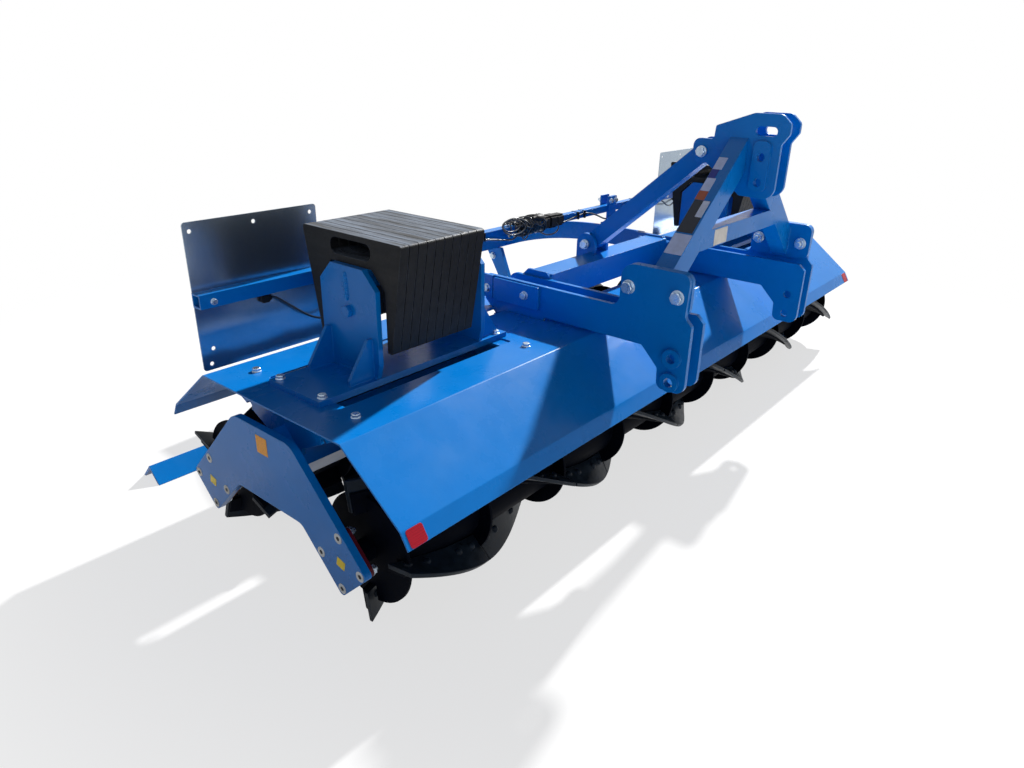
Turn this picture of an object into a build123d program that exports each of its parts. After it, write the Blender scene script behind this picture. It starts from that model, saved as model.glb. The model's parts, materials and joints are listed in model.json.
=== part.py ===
from build123d import *
import os
from math import atan, cos, hypot, radians, sin, tan

# A three-metre double knife roller with bolted-on weights, carried on a tractor's three-point linkage.
# X runs across the machine, -Y is the tractor's side, Z is up and the ground is Z 0.
# While the pieces are made, Y 0 lies midway between the two drum axles; save() moves that point
# to the middle of the whole machine. Right is -X, as seen in the direction of travel.

# Fits
running_gap = 0.3          # between a shaft and its bore, and between weights that hang side by side
sheet_gap = 0.3            # between the inner edges of the two hood sheets

# Drums and knives
axle_spacing = 575.0
knife_tip_radius = 195.0
knife_thickness = 12.0
knife_starts = 4
knife_lead = 2196.0        # length of the roller in which a knife goes round once
knife_zero_angle = 51.0    # angle of the first knife at the middle of the roller
knife_step_count = 4       # straight stretches in the twist of one knife segment
drum_tube_radius = 108.0
knife_end_gap = 31.0       # from the knives' ends to the end plate's inner face
drum_inset = 35.0          # how far the end discs stand back from the knives' ends
drum_segments = 9
disc_radius = 150.0
disc_thickness = 8.0
disc_notch = 30.0          # width of the notches in the end discs through which the knives run
shaft_radius = 30.0

# Bearings on the inner faces of the end plates
bearing_flange_side = 132.0
bearing_flange_thickness = 12.0
bearing_flange_corner = 16.0
bearing_housing_radius = 48.0
bearing_depth = 19.0       # from the end plate to the housing's inner face

# Main beam: a square tube that stands on its corner
beam_side = 120.0
beam_wall = 8.0
beam_height = 360.0        # height of its centre line

# Hoods
hood_width = 3000.0
hood_sheet = 4.0
hood_top = 512.6
hood_flat_half = 293.5
hood_slope_run = 192.4
hood_slope_drop = 147.1
hood_lip_run = 24.0
hood_lip_drop = 39.6
hood_fold_radius = 9.0
hood_seam_y = 65.0         # where the front sheet ends and the rear one starts
seam_gap_half_width = 720.0
seam_gap_depth = 43.0      # how far the rear sheet is cut back between the weight bases
centre_opening_depth = 115.0
foot_slot_clearance = 8.0

# End plates
end_gap = 2.0              # between a hood's end and the end plate
end_plate_thickness = 20.0
end_plate_rise = 13.0      # above the beam's ridge
end_arch_clearance = 32.0  # below the beam's lowest corner
end_top_radius = 55.0
end_leg_half = 70.0        # half the width of a leg, square to its slope
end_leg_reach = 68.0       # from the axle to the leg's square end
end_leg_corner = 14.0
end_arch_radius = 35.0

# Brackets that carry the hoods on the beam
wing_plate = 10.0
wing_flange = 8.0
wing_half = 286.0
wing_knee_y = 211.0
wing_knee_drop = 38.0      # from the hood's underside to the knee of the lower edge
wing_root_half = 65.0
wing_root_drop = 112.0
wing_hole_y = 160.0
wing_hole_drop = 61.0
wing_hole_radius = 12.0
wing_end_inset = 57.0      # from the beam's end to the end bracket's web and its flange's outer edge
wing_end_flange = 80.0
wing_base_inset = 30.0     # from the weight base's inner end to the next bracket's web
wing_base_flange = 80.0

# Weight bases
weight_base_inset = 85.0   # from the hood's end to the base's outer end
weight_base_arm_gap = 205.0    # from the linkage arm's outer face to the base's inner end
weight_base_half = 107.0
weight_base_thickness = 15.0
weight_slot_inset = 24.0       # from the base's ends to the ends of the hood's slots beside it
weight_slot_width = 42.0
weight_support_plate = 15.0
weight_support_inset_outer = 191.0     # from the base's outer end to the outer support
weight_support_inset_inner = 108.0
weight_support_half = 112.5
weight_support_root = 10.0     # how far a support narrows to its foot
weight_support_foot = 40.0     # height of that narrowing
weight_shoulder_z = 766.5
weight_rail_top = 815.5
weight_rail_half = 64.0
weight_rail_depth = 50.0
weight_gusset_length = 80.0
weight_gusset_height = 110.0
weight_gusset_thickness = 10.0
weight_gusset_y = 90.0
weight_gusset_toe = 15.0

# Weights
weight_thickness = 27.8
weight_gap = 2.4
weight_room_left = 2       # how many more weights the rail has room for
weight_top_half = 197.0
weight_bottom_half = 146.0
weight_top_rise = 78.5     # above the rail
weight_height = 291.0
weight_corner = 9.0
weight_handle_length = 161.0
weight_handle_height = 45.0
weight_handle_drop = 37.5  # from the top edge to the middle of the handle
weight_mouth_clearance = 17.0  # beside the rail and the supports

# Linkage arms
arm_plate = 15.0
arm_outer_face = 500.0
arm_gap = 62.0             # between the inner and the outer plate of one arm
arm_bottom = 522.0
arm_depth = 104.0
foot_bottom = 492.0
foot_front = -84.0
foot_rear = 116.0
arm_tail = 162.0
arm_tail_rise = 44.0
arm_heel = 16.0
jaw_front = -631.0
jaw_rear = -537.0
jaw_bottom = 397.0
jaw_throat = 462.0
block_rear = -384.0
block_front = -612.0
block_top = 763.0
link_hole_y = -581.0
link_hole_low = 428.5
link_hole_pitch = 76.0
link_pin_radius = 14.5
link_boss_radius = 30.0
link_boss_height = 10.0

# Saddles under the arms
saddle_plate = 15.0
saddle_web = 12.0
saddle_overhang = 8.0
saddle_root_half = 70.0

# Splice plates and arched arms on the outer faces
side_plate = 12.0
splice_length = 197.0
splice_height = 78.0
splice_rise = 22.0
arch_gap = 5.0
arch_height = 80.0
arch_bottom = 547.0
arch_bend_start = 330.0
arch_reach = 913.0
arch_drop = 110.0

# Transverse tube and drag bar at the rear
drag_tube_side = 80.0
drag_tube_wall = 6.0
drag_tube_overhang = 88.0  # beyond the arched arms' outer faces
drag_bar_overhang = 5.0    # beyond the hood's ends
drag_bar_leg = 75.0
drag_bar_thickness = 8.0
drag_bar_y = 757.5
drag_arm_inner_face = 430.0
drag_arm_plate = 20.0
drag_arm_width = 100.0     # at the top, under the transverse tube
drag_arm_seat = 60.0       # along the front leg of the drag bar

# Cross tube between the arms and the stay to the mast
cross_tube_height = 95.0
cross_tube_front = -50.0
cross_tube_bottom = 545.0
lug_plate = 12.0
lug_front = -56.0
lug_rear = 72.0
lug_top = 646.0
lug_chamfer = 24.0
ear_plate = 15.0
ear_radius = 41.0
ear_hole_y = 55.0
ear_hole_z = 672.0
ear_tail = 50.0            # how far it reaches down the cross tube's rear
stay_pin_radius = 10.0
stay_side = 60.0
stay_pin_head = 8.0
stay_pin_head_radius = 17.0

# Mast
mast_plate = 12.0
mast_gap = 66.0
mast_pin_y = -379.0
mast_pin_z = 1048.0
mast_front = -636.0
mast_tip_reach = 22.0      # of the upper horn, in front of the plate's front edge
mast_horn_length = 117.0   # along its top, from the tip
mast_horn_rise = 127.0     # of its top above the stay's pin
mast_neck_rise = 83.0      # of the plate's top edge behind the horn
mast_waist_rise = 38.0     # where the front edge turns out to the horn
mast_lobe_front = 35.0     # round the stay's pin
mast_lobe_rear = 34.0
mast_lobe_rise = 41.0
mast_lobe_drop = 31.0
mast_toe_drop = 50.0       # of the lower end below the lower hole
mast_toe_length = 113.0
top_hole_y = -580.5
top_hole_z = 970.0
top_hole_pitch = 76.5
top_hole_radius = 12.7
top_slot_length = 70.0
top_slot_height = 28.0
doubler_plate = 8.0
doubler_half = 28.0
mast_leg_y = -501.0
mast_leg_width = 60.0
mast_leg_depth = 80.0
mast_leg_wall = 6.0
mast_leg_slope = 39.8
mast_leg_top = 1099.0      # height of its upper face where it meets the mast plate
mast_cross_bottom = 783.0
mast_cross_height = 58.0
mast_foot_plate = 15.0
mast_foot_bottom = 633.0
mast_foot_corner = 28.0

# Light bar, boards and lamps
light_bar_y = 371.0
light_bar_z = 690.0
light_bar_side = 30.0
light_bar_lap = 110.0      # how far the bar reaches into the sleeve that is drawn out
sleeve_side = 40.0
sleeve_inset = 53.0        # from the hood's end to the sleeve's outer end
sleeve_length = 439.0
board_side = 423.0
board_inset = 55.0         # from the hood's end to the right board's outer edge
board_bottom = 477.0
board_thickness = 3.0
board_corner = 10.0
board_hole_radius = 6.0
left_pull_out = 57.0       # the left board is drawn out further than the right one
lamp_length = 230.0
lamp_height = 104.0
lamp_depth = 46.0
lamp_z = 640.0
lamp_inset = 213.0         # from the board's outer edge to the lamp's middle
lamp_corner = 14.0
strut_plate = 12.0
strut_width = 62.0
strut_foot_height = 70.0   # of the part that reaches in to the arched arm
strut_lap = 62.0           # how far down the arched arm's side it reaches
strut_top = 747.0
strut_reach_left = 43.0    # from the arched arm's outer face to the upright part
strut_reach_right = 0.0
clamp_plate = 8.0
clamp_height = 80.0

# Places that follow from the sizes above
axle_y = axle_spacing / 2
axle_z = knife_tip_radius
beam_half_diagonal = beam_side / 2 ** 0.5
beam_ridge = beam_height + beam_half_diagonal
beam_half_length = hood_width / 2 + end_gap
knife_end = beam_half_length - knife_end_gap
drum_half_length = knife_end - drum_inset
weight_base_x1 = hood_width / 2 - weight_base_inset
weight_base_x0 = arm_outer_face + weight_base_arm_gap
weight_support_x1 = weight_base_x1 - weight_support_inset_outer
weight_support_x0 = weight_base_x0 + weight_support_inset_inner
weight_room = weight_support_x1 - weight_support_x0 - 2 * weight_support_plate
weight_pitch = weight_thickness + weight_gap
weight_count = int(weight_room / weight_pitch) - weight_room_left
weight_pack = weight_count * weight_pitch
drag_tube_half = arm_outer_face + side_plate + drag_tube_overhang
drag_bar_half = hood_width / 2 + drag_bar_overhang
sleeve_outer_x = hood_width / 2 - sleeve_inset
sleeve_inner_x = sleeve_outer_x - sleeve_length
board_outer_x = hood_width / 2 - board_inset
lamp_x = board_outer_x - lamp_inset
hood_under = hood_top - hood_sheet
arm_outer_inside = arm_outer_face - arm_plate
arm_inner_outside = arm_outer_inside - arm_gap
arm_inner_face = arm_inner_outside - arm_plate
arm_top = arm_bottom + arm_depth
mast_outside = mast_gap / 2 + mast_plate
rear_end = arch_reach + drag_tube_side
mast_tip = mast_front - mast_tip_reach
light_bar_half = sleeve_inner_x + left_pull_out + light_bar_lap
middle_y = (rear_end + mast_tip) / 2


def outline(rows):
    """A closed face from rows of (along, up, corner radius)."""
    points = [(along, up) for along, up, radius in rows]
    return make_face(FilletPolyline(*points, radius=[radius for along, up, radius in rows], close=True))


def plate_x(rows, x0, x1):
    """A plate between x0 and x1 whose outline's rows are (y, z, corner radius)."""
    return extrude(Plane.YZ.offset(x0) * outline(rows), amount=x1 - x0)


def plate_y(rows, y0, y1):
    """A plate between y0 and y1 whose outline's rows are (x, z, corner radius)."""
    return extrude(Plane.XZ.offset(-y0) * outline(rows), amount=y0 - y1)


def block(x0, x1, y0, y1, z0, z1):
    return Pos((x0 + x1) / 2, (y0 + y1) / 2, (z0 + z1) / 2) * Box(x1 - x0, y1 - y0, z1 - z0)


def rod_x(x0, x1, y, z, radius):
    return Pos((x0 + x1) / 2, y, z) * Rot(0, 90, 0) * Cylinder(radius, x1 - x0)


def rod_y(y0, y1, x, z, radius):
    return Pos(x, (y0 + y1) / 2, z) * Rot(90, 0, 0) * Cylinder(radius, y1 - y0)


def mirrored(solid):
    return mirror(solid, about=Plane.YZ)


def band(points, thickness, radius):
    """The outline of a folded sheet: a line of points, and its offset to the right of the way they run."""
    near, far = [], []
    for i, (y, z) in enumerate(points):
        ways = []
        for j, k in ((i - 1, i), (i, i + 1)):
            if j >= 0 and k < len(points):
                dy, dz = points[k][0] - points[j][0], points[k][1] - points[j][1]
                ways.append((dz / hypot(dy, dz), -dy / hypot(dy, dz)))
        side = (sum(way[0] for way in ways), sum(way[1] for way in ways))
        reach = thickness * len(ways) / (side[0] ** 2 + side[1] ** 2)
        inner = len(ways) == 2
        turn = ways[0][0] * ways[-1][1] - ways[0][1] * ways[-1][0]
        near_radius = (radius if turn < 0 else radius - thickness) if inner else 0
        far_radius = (radius - thickness if turn < 0 else radius) if inner else 0
        near.append((y, z, near_radius))
        far.append((y + side[0] * reach, z + side[1] * reach, far_radius))
    return near + far[::-1]


def save(name, *solids):
    placed = [Pos(0, -middle_y, 0) * solid for solid in solids]
    export_step(placed[0] if len(placed) == 1 else Compound(children=placed), f"parts/{name}.step")


def knife_segment(length, hand):
    """One bolted-on knife from X 0: a strip on edge, twisted about the drum, faced with triangles."""
    step = length / knife_step_count
    half = knife_thickness / 2
    # Far enough out for the straight edge across the foot of each stretch to clear the tube
    across = radians(180 * step / knife_lead) + atan(half / drum_tube_radius)
    root = drum_tube_radius / cos(across) + running_gap
    tip = (knife_tip_radius ** 2 - half ** 2) ** 0.5
    rings = []
    for i in range(knife_step_count + 1):
        turn = radians(hand * 360 * i * step / knife_lead)
        ring = []
        for reach, side in ((root, -half), (tip, -half), (tip, half), (root, half)):
            y = reach * cos(turn) - side * sin(turn)
            z = reach * sin(turn) + side * cos(turn)
            ring.append((i * step, y, z))
        rings.append(ring)
    faces = [make_face(Polyline(*ring, close=True)) for ring in (rings[0], rings[-1])]
    for near, far in zip(rings[:-1], rings[1:]):
        # From foot to tip on both sides, so that their facets lie parallel; then the foot and the tip
        for j, k in ((0, 1), (3, 2), (0, 3), (1, 2)):
            faces.append(make_face(Polyline(near[j], near[k], far[k], close=True)))
            faces.append(make_face(Polyline(near[j], far[k], far[j], close=True)))
    return Solid(Shell([face.face() for face in faces]))


def knife_angle(x, start, hand):
    return knife_zero_angle + start * 360 / knife_starts + hand * 360 * x / knife_lead


def drum(y, hand):
    """The drum's tube with its discs and the shaft ends that turn in the bearings."""
    solid = rod_x(-drum_half_length, drum_half_length, 0, 0, drum_tube_radius)
    for i in range(1, drum_segments):
        x = -knife_end + i * 2 * knife_end / drum_segments
        solid += rod_x(x - disc_thickness / 2, x + disc_thickness / 2, 0, 0, disc_radius)
    for side in (-1, 1):
        x = side * (drum_half_length - disc_thickness / 2)
        disc = rod_x(x - disc_thickness / 2, x + disc_thickness / 2, 0, 0, disc_radius)
        for start in range(knife_starts):
            reach = disc_radius - drum_tube_radius
            middle = drum_tube_radius + reach / 2
            notch = Pos(x, middle, 0) * Box(2 * disc_thickness, reach + 2, disc_notch)
            disc -= Rot(knife_angle(x, start, hand), 0, 0) * notch
        solid += disc
    solid += rod_x(-beam_half_length + end_gap, beam_half_length - end_gap, 0, 0, shaft_radius)
    return Pos(0, y, axle_z) * solid


def knives(y, hand):
    pitch = 2 * knife_end / drum_segments
    segment = knife_segment(pitch - disc_thickness, hand)
    solids = []
    for i in range(drum_segments):
        x0 = -knife_end + i * pitch + disc_thickness / 2
        for start in range(knife_starts):
            place = Pos(x0, y, axle_z) * Rot(knife_angle(x0, start, hand), 0, 0)
            solids.append(place * segment)
    return solids


def bearing(y):
    """A square flange unit turned on its corner, its housing round the shaft."""
    x0 = beam_half_length - bearing_flange_thickness
    flange = RectangleRounded(bearing_flange_side, bearing_flange_side, bearing_flange_corner)
    solid = extrude(Plane.YZ.offset(x0) * Rot(0, 0, 45) * flange, amount=bearing_flange_thickness)
    solid += rod_x(beam_half_length - bearing_depth, beam_half_length, 0, 0, bearing_housing_radius)
    solid -= rod_x(x0 - bearing_depth, beam_half_length + bearing_depth, 0, 0, shaft_radius + running_gap)
    return Pos(0, y, axle_z) * solid


def end_plate():
    """A plate with two sloping legs whose square ends carry the bearings."""
    top = beam_ridge + end_plate_rise
    under = beam_height - beam_half_diagonal - end_arch_clearance
    slant = end_leg_half * 2 ** 0.5
    reach = end_leg_reach * 2 ** 0.5
    # Along each leg's edge y + z is constant: outer, inner; along its square end y - z is constant.
    outer_sum = axle_y + axle_z + slant
    inner_sum = axle_y + axle_z - slant
    end_difference = axle_y - axle_z + reach
    half = [
        (outer_sum - top, top, end_top_radius),
        ((outer_sum + end_difference) / 2, (outer_sum - end_difference) / 2, end_leg_corner),
        ((inner_sum + end_difference) / 2, (inner_sum - end_difference) / 2, end_leg_corner),
        (inner_sum - under, under, end_arch_radius),
    ]
    rows = half + [(-y, z, radius) for y, z, radius in half[::-1]]
    return plate_x(rows, beam_half_length, beam_half_length + end_plate_thickness)


def main_beam():
    solid = Rot(45, 0, 0) * Box(2 * beam_half_length, beam_side, beam_side)
    inner = beam_side - 2 * beam_wall
    solid -= Rot(45, 0, 0) * Box(2 * beam_half_length, inner, inner)
    return Pos(0, 0, beam_height) * solid


def wing_bracket(web_x, flange_x0, flange_x1):
    """An upright plate notched over the beam, with a flange under the hood."""
    top = hood_under - wing_flange
    rows = [
        (wing_half, top, 0),
        (wing_knee_y, hood_under - wing_knee_drop, 0),
        (wing_root_half, hood_under - wing_root_drop, 0),
        (wing_root_half, beam_ridge - wing_root_half, 0),
        (0, beam_ridge, 0),
        (-wing_root_half, beam_ridge - wing_root_half, 0),
        (-wing_root_half, hood_under - wing_root_drop, 0),
        (-wing_knee_y, hood_under - wing_knee_drop, 0),
        (-wing_half, top, 0),
    ]
    solid = plate_x(rows, web_x - wing_plate / 2, web_x + wing_plate / 2)
    for side in (-1, 1):
        hole_z = hood_under - wing_hole_drop
        solid -= rod_x(web_x - wing_plate, web_x + wing_plate, side * wing_hole_y, hole_z, wing_hole_radius)
    return solid + block(flange_x0, flange_x1, -wing_half, wing_half, top, hood_under)


def hood_cuts():
    """Openings in the hoods beside the weight bases, round the arms' feet and between the arms."""
    low, high = hood_under - hood_sheet, hood_top + hood_sheet
    foot_x0 = arm_inner_face - foot_slot_clearance
    foot_x1 = arm_outer_face + foot_slot_clearance
    slot_x = (weight_base_x0 + weight_base_x1) / 2
    slot_length = weight_base_x1 - weight_base_x0 - 2 * weight_slot_inset
    solids = []
    for side in (-1, 1):
        for row in (-1, 1):
            y = row * (weight_base_half + weight_slot_width / 2)
            slot = RectangleRounded(slot_length, weight_slot_width, hood_fold_radius)
            place = Plane.XY.offset(low) * Pos(side * slot_x, y)
            solids.append(extrude(place * slot, amount=high - low))
        x0, x1 = sorted((side * foot_x0, side * foot_x1))
        tail_run = (hood_top - foot_bottom) * (arm_tail - foot_rear) / arm_tail_rise
        y0 = foot_front - arm_heel - foot_slot_clearance
        y1 = foot_rear + tail_run + foot_slot_clearance
        solids.append(block(x0, x1, y0, y1, low, high))
    opening_y = hood_seam_y - centre_opening_depth
    solids.append(block(-foot_x1, foot_x1, opening_y, hood_seam_y + 1, low, high))
    return solids


def hood(side):
    """One folded sheet; side -1 is the front one, on the tractor's side."""
    seam = hood_seam_y if side < 0 else hood_seam_y + sheet_gap
    fold_y = hood_flat_half + hood_slope_run
    points = [
        (seam, hood_top),
        (side * hood_flat_half, hood_top),
        (side * fold_y, hood_top - hood_slope_drop),
        (side * (fold_y + hood_lip_run), hood_top - hood_slope_drop - hood_lip_drop),
    ]
    if side < 0:
        points = points[::-1]
    solid = plate_x(band(points, hood_sheet, hood_fold_radius), -hood_width / 2, hood_width / 2)
    for cut in hood_cuts():
        solid -= cut
    if side > 0:
        seam_end = hood_seam_y + seam_gap_depth
        solid -= block(-seam_gap_half_width, seam_gap_half_width, seam - 1, seam_end,
                       hood_under - 1, hood_top + 1)
    return solid


def weight_base():
    """A base plate with two supports, a rail between them and gussets outside them, welded together."""
    base_top = hood_top + weight_base_thickness
    solid = block(weight_base_x0, weight_base_x1, -weight_base_half, weight_base_half, hood_top, base_top)
    rail_x0 = weight_support_x0 + weight_support_plate
    rail_x1 = weight_support_x1 - weight_support_plate
    rows = [
        (weight_support_half - weight_support_root, base_top, 0),
        (weight_support_half, base_top + weight_support_foot, 0),
        (weight_support_half, weight_shoulder_z, 0),
        (weight_rail_half, weight_rail_top, 0),
    ]
    rows = rows + [(-y, z, radius) for y, z, radius in rows[::-1]]
    solid += plate_x(rows, weight_support_x0, rail_x0)
    solid += plate_x(rows, rail_x1, weight_support_x1)
    solid += block(rail_x0, rail_x1, -weight_rail_half, weight_rail_half,
                   weight_rail_top - weight_rail_depth, weight_rail_top)
    for face, way in ((weight_support_x0, -1), (weight_support_x1, 1)):
        gusset = [
            (face, base_top, 0),
            (face + way * weight_gusset_length, base_top, 0),
            (face + way * weight_gusset_length, base_top + weight_gusset_toe, 0),
            (face + way * weight_gusset_toe, base_top + weight_gusset_height, 0),
            (face, base_top + weight_gusset_height, 0),
        ]
        for y in (-weight_gusset_y, weight_gusset_y - weight_gusset_thickness):
            solid += plate_y(gusset, y, y + weight_gusset_thickness)
    return solid


def weights(x0):
    """Cast plates hung over the rail, each with a handle slot and a mouth that straddles the rail."""
    top = weight_rail_top + weight_top_rise
    bottom = top - weight_height
    mouth_half = weight_support_half + weight_mouth_clearance
    rail_half = weight_rail_half + weight_mouth_clearance
    rows = [
        (weight_top_half, top, weight_corner),
        (weight_bottom_half, bottom, 0),
        (mouth_half, bottom, 0),
        (mouth_half, weight_shoulder_z, 0),
        (rail_half, weight_rail_top + running_gap, 0),
    ]
    rows = rows + [(-y, z, radius) for y, z, radius in rows[::-1]]
    handle = RectangleRounded(weight_handle_length, weight_handle_height, weight_handle_height / 2 - 1)
    plate = plate_x(rows, x0, x0 + weight_thickness)
    place = Plane.YZ.offset(x0 - 1) * Pos(0, top - weight_handle_drop)
    plate -= extrude(place * handle, amount=weight_thickness + 2)
    return [Pos(i * weight_pitch, 0, 0) * plate for i in range(weight_count)]


def link_holes(x0, x1):
    solids = []
    for i in range(2):
        solids.append(rod_x(x0, x1, link_hole_y, link_hole_low + i * link_hole_pitch, link_pin_radius))
    return solids


def arm_outer():
    """The outer plate of a linkage arm, with the block that takes the mast's foot."""
    rows = [
        (arm_tail, arm_top, 12),
        (block_rear, arm_top, 30),
        (block_rear, block_top, 46),
        (block_front, block_top, 28),
        (block_front + 5, arm_top + 10, 20),
        (jaw_front, arm_top - 14, 12),
        (jaw_front, jaw_bottom, 30),
        (jaw_rear, jaw_bottom, 24),
        (jaw_rear + 3, jaw_throat, 12),
        (jaw_rear + 63, arm_bottom, 12),
        (foot_front - arm_heel, arm_bottom, arm_heel),
        (foot_front, foot_bottom, 0),
        (foot_rear, foot_bottom, 4),
        (arm_tail, foot_bottom + arm_tail_rise, 8),
    ]
    solid = plate_x(rows, arm_outer_inside, arm_outer_face)
    for i in range(2):
        z = link_hole_low + i * link_hole_pitch
        solid += rod_x(arm_outer_face, arm_outer_face + link_boss_height, link_hole_y, z, link_boss_radius)
    for hole in link_holes(arm_outer_inside - 1, arm_outer_face + link_boss_height + 1):
        solid -= hole
    return solid


def arm_inner():
    rows = [
        (foot_rear, arm_top, 30),
        (jaw_front + 24, arm_top, 8),
        (jaw_front, arm_top - 22, 8),
        (jaw_front, jaw_bottom, 30),
        (jaw_rear, jaw_bottom, 24),
        (jaw_rear + 3, jaw_throat, 12),
        (jaw_rear + 63, arm_bottom, 12),
        (foot_front - arm_heel, arm_bottom, arm_heel),
        (foot_front, foot_bottom, 0),
        (foot_rear, foot_bottom, 8),
    ]
    solid = plate_x(rows, arm_inner_face, arm_inner_outside)
    for hole in link_holes(arm_inner_face - 1, arm_inner_outside + 1):
        solid -= hole
    return solid


def saddle():
    """A seat welded over the beam's ridge, on which both plates of an arm stand."""
    x0, x1 = arm_inner_face - saddle_overhang, arm_outer_face + saddle_overhang
    under = foot_bottom - saddle_plate
    solid = block(x0, x1, foot_front, foot_rear, under, foot_bottom)
    rows = [
        (foot_rear - 15, under, 0),
        (saddle_root_half, beam_ridge - saddle_root_half, 0),
        (0, beam_ridge, 0),
        (-saddle_root_half, beam_ridge - saddle_root_half, 0),
        (foot_front + 5, under, 0),
    ]
    for x in (arm_inner_face, arm_outer_face - saddle_web):
        solid += plate_x(rows, x, x + saddle_web)
    return solid


def splice():
    rear = foot_rear + 1
    rows = [
        (rear, arm_bottom + splice_rise, 6),
        (rear, arm_bottom + splice_rise + splice_height, 6),
        (rear - splice_length, arm_bottom + splice_rise + splice_height, 6),
        (rear - splice_length, arm_bottom + splice_rise, 6),
    ]
    return plate_x(rows, arm_outer_face, arm_outer_face + side_plate)


def arch_arm():
    """A flat bar on edge that runs rearwards and curves down to the transverse tube."""
    start = foot_rear + arch_gap
    end_z = arch_bottom - arch_drop
    under = TangentArc((arch_bend_start, arch_bottom), (arch_reach, end_z), tangent=(1, 0))
    over = TangentArc((arch_bend_start, arch_bottom + arch_height), (arch_reach, end_z + arch_height),
                      tangent=(1, 0))
    ends = [
        Line((arch_reach, end_z), (arch_reach, end_z + arch_height)),
        Polyline((arch_bend_start, arch_bottom + arch_height), (start, arch_bottom + arch_height),
                 (start, arch_bottom), (arch_bend_start, arch_bottom)),
    ]
    face = make_face([*under.edges(), *ends[0].edges(), *over.edges(), *ends[1].edges()])
    return extrude(Plane.YZ.offset(arm_outer_face) * face, amount=side_plate)


def drag_tube():
    z = arch_bottom - arch_drop + drag_tube_side / 2
    y = arch_reach + drag_tube_side / 2
    inner = drag_tube_side - 2 * drag_tube_wall
    solid = Box(2 * drag_tube_half, drag_tube_side, drag_tube_side)
    solid -= Box(2 * drag_tube_half, inner, inner)
    return Pos(0, y, z) * solid


def drag_bar():
    """An angle that lies on the ground on its two edges, its ridge upwards."""
    drop = drag_bar_leg / 2 ** 0.5
    wall = drag_bar_thickness * 2 ** 0.5
    rows = [
        (drag_bar_y, drop, 0),
        (drag_bar_y + drop, 0, 0),
        (drag_bar_y + drop - wall, 0, 0),
        (drag_bar_y, drop - wall, 0),
        (drag_bar_y - drop + wall, 0, 0),
        (drag_bar_y - drop, 0, 0),
    ]
    return plate_x(rows, -drag_bar_half, drag_bar_half)


def drag_arm():
    """A plate from the transverse tube's underside, leaning forward, down to the drag bar's front leg."""
    ridge = drag_bar_leg / 2 ** 0.5
    seat = drag_arm_seat / 2 ** 0.5
    tube_under = arch_bottom - arch_drop
    rows = [
        (drag_bar_y, ridge, 0),
        (rear_end, tube_under, 0),
        (rear_end - drag_arm_width, tube_under, 0),
        (drag_bar_y - seat, ridge - seat, 0),
    ]
    return plate_x(rows, drag_arm_inner_face, drag_arm_inner_face + drag_arm_plate)


def cross_tube():
    """The tube between the arms, with a lug plate on each end."""
    rear = cross_tube_front + cross_tube_height
    top = cross_tube_bottom + cross_tube_height
    end = arm_inner_face - lug_plate
    solid = block(-end, end, cross_tube_front, rear, cross_tube_bottom, top)
    rows = [
        (lug_front, cross_tube_bottom - 6, 8),
        (lug_rear, cross_tube_bottom - 6, 8),
        (lug_rear, lug_top - lug_chamfer, 0),
        (lug_rear - lug_chamfer, lug_top, 0),
        (lug_front + lug_chamfer, lug_top, 0),
        (lug_front, lug_top - lug_chamfer, 0),
    ]
    lug = plate_x(rows, end, arm_inner_face)
    return solid + lug + mirrored(lug)


def stay_ear():
    """A lug welded to the top and rear of the cross tube, round at the pin."""
    tube_rear = cross_tube_front + cross_tube_height
    tube_top = cross_tube_bottom + cross_tube_height
    rows = [
        (ear_hole_y + ear_radius, ear_hole_z + ear_radius, ear_radius - 1),
        (ear_hole_y + ear_radius, tube_top - ear_tail, 12),
        (tube_rear, tube_top - ear_tail, 0),
        (tube_rear, tube_top, 0),
        (ear_hole_y - ear_radius, tube_top, 0),
        (ear_hole_y - ear_radius, ear_hole_z + ear_radius, ear_radius - 1),
    ]
    x0 = mast_gap / 2
    solid = plate_x(rows, x0, x0 + ear_plate)
    return solid - rod_x(x0 - 1, x0 + ear_plate + 1, ear_hole_y, ear_hole_z, stay_pin_radius + running_gap)


def stay_bar():
    """A square bar from the ears up to the mast, with a round end at each pin."""
    dy, dz = mast_pin_y - ear_hole_y, mast_pin_z - ear_hole_z
    length = hypot(dy, dz)
    middle = (0, (ear_hole_y + mast_pin_y) / 2, (ear_hole_z + mast_pin_z) / 2)
    solid = Plane(origin=middle, x_dir=(1, 0, 0), z_dir=(0, dy, dz)) * Box(stay_side, stay_side, length)
    for y, z in ((ear_hole_y, ear_hole_z), (mast_pin_y, mast_pin_z)):
        solid += rod_x(-stay_side / 2, stay_side / 2, y, z, stay_side / 2)
        solid -= rod_x(-stay_side, stay_side, y, z, stay_pin_radius + running_gap)
    return solid


def stay_pins():
    solids = []
    # Columns: y, z, half the width over the plates
    for y, z, half in (
        (ear_hole_y, ear_hole_z, mast_gap / 2 + ear_plate),
        (mast_pin_y, mast_pin_z, mast_outside),
    ):
        pin = rod_x(-half - stay_pin_head, half + stay_pin_head, y, z, stay_pin_radius)
        pin += rod_x(-half - stay_pin_head, -half, y, z, stay_pin_head_radius)
        pin += rod_x(half, half + stay_pin_head, y, z, stay_pin_head_radius)
        solids.append(pin)
    return solids


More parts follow.
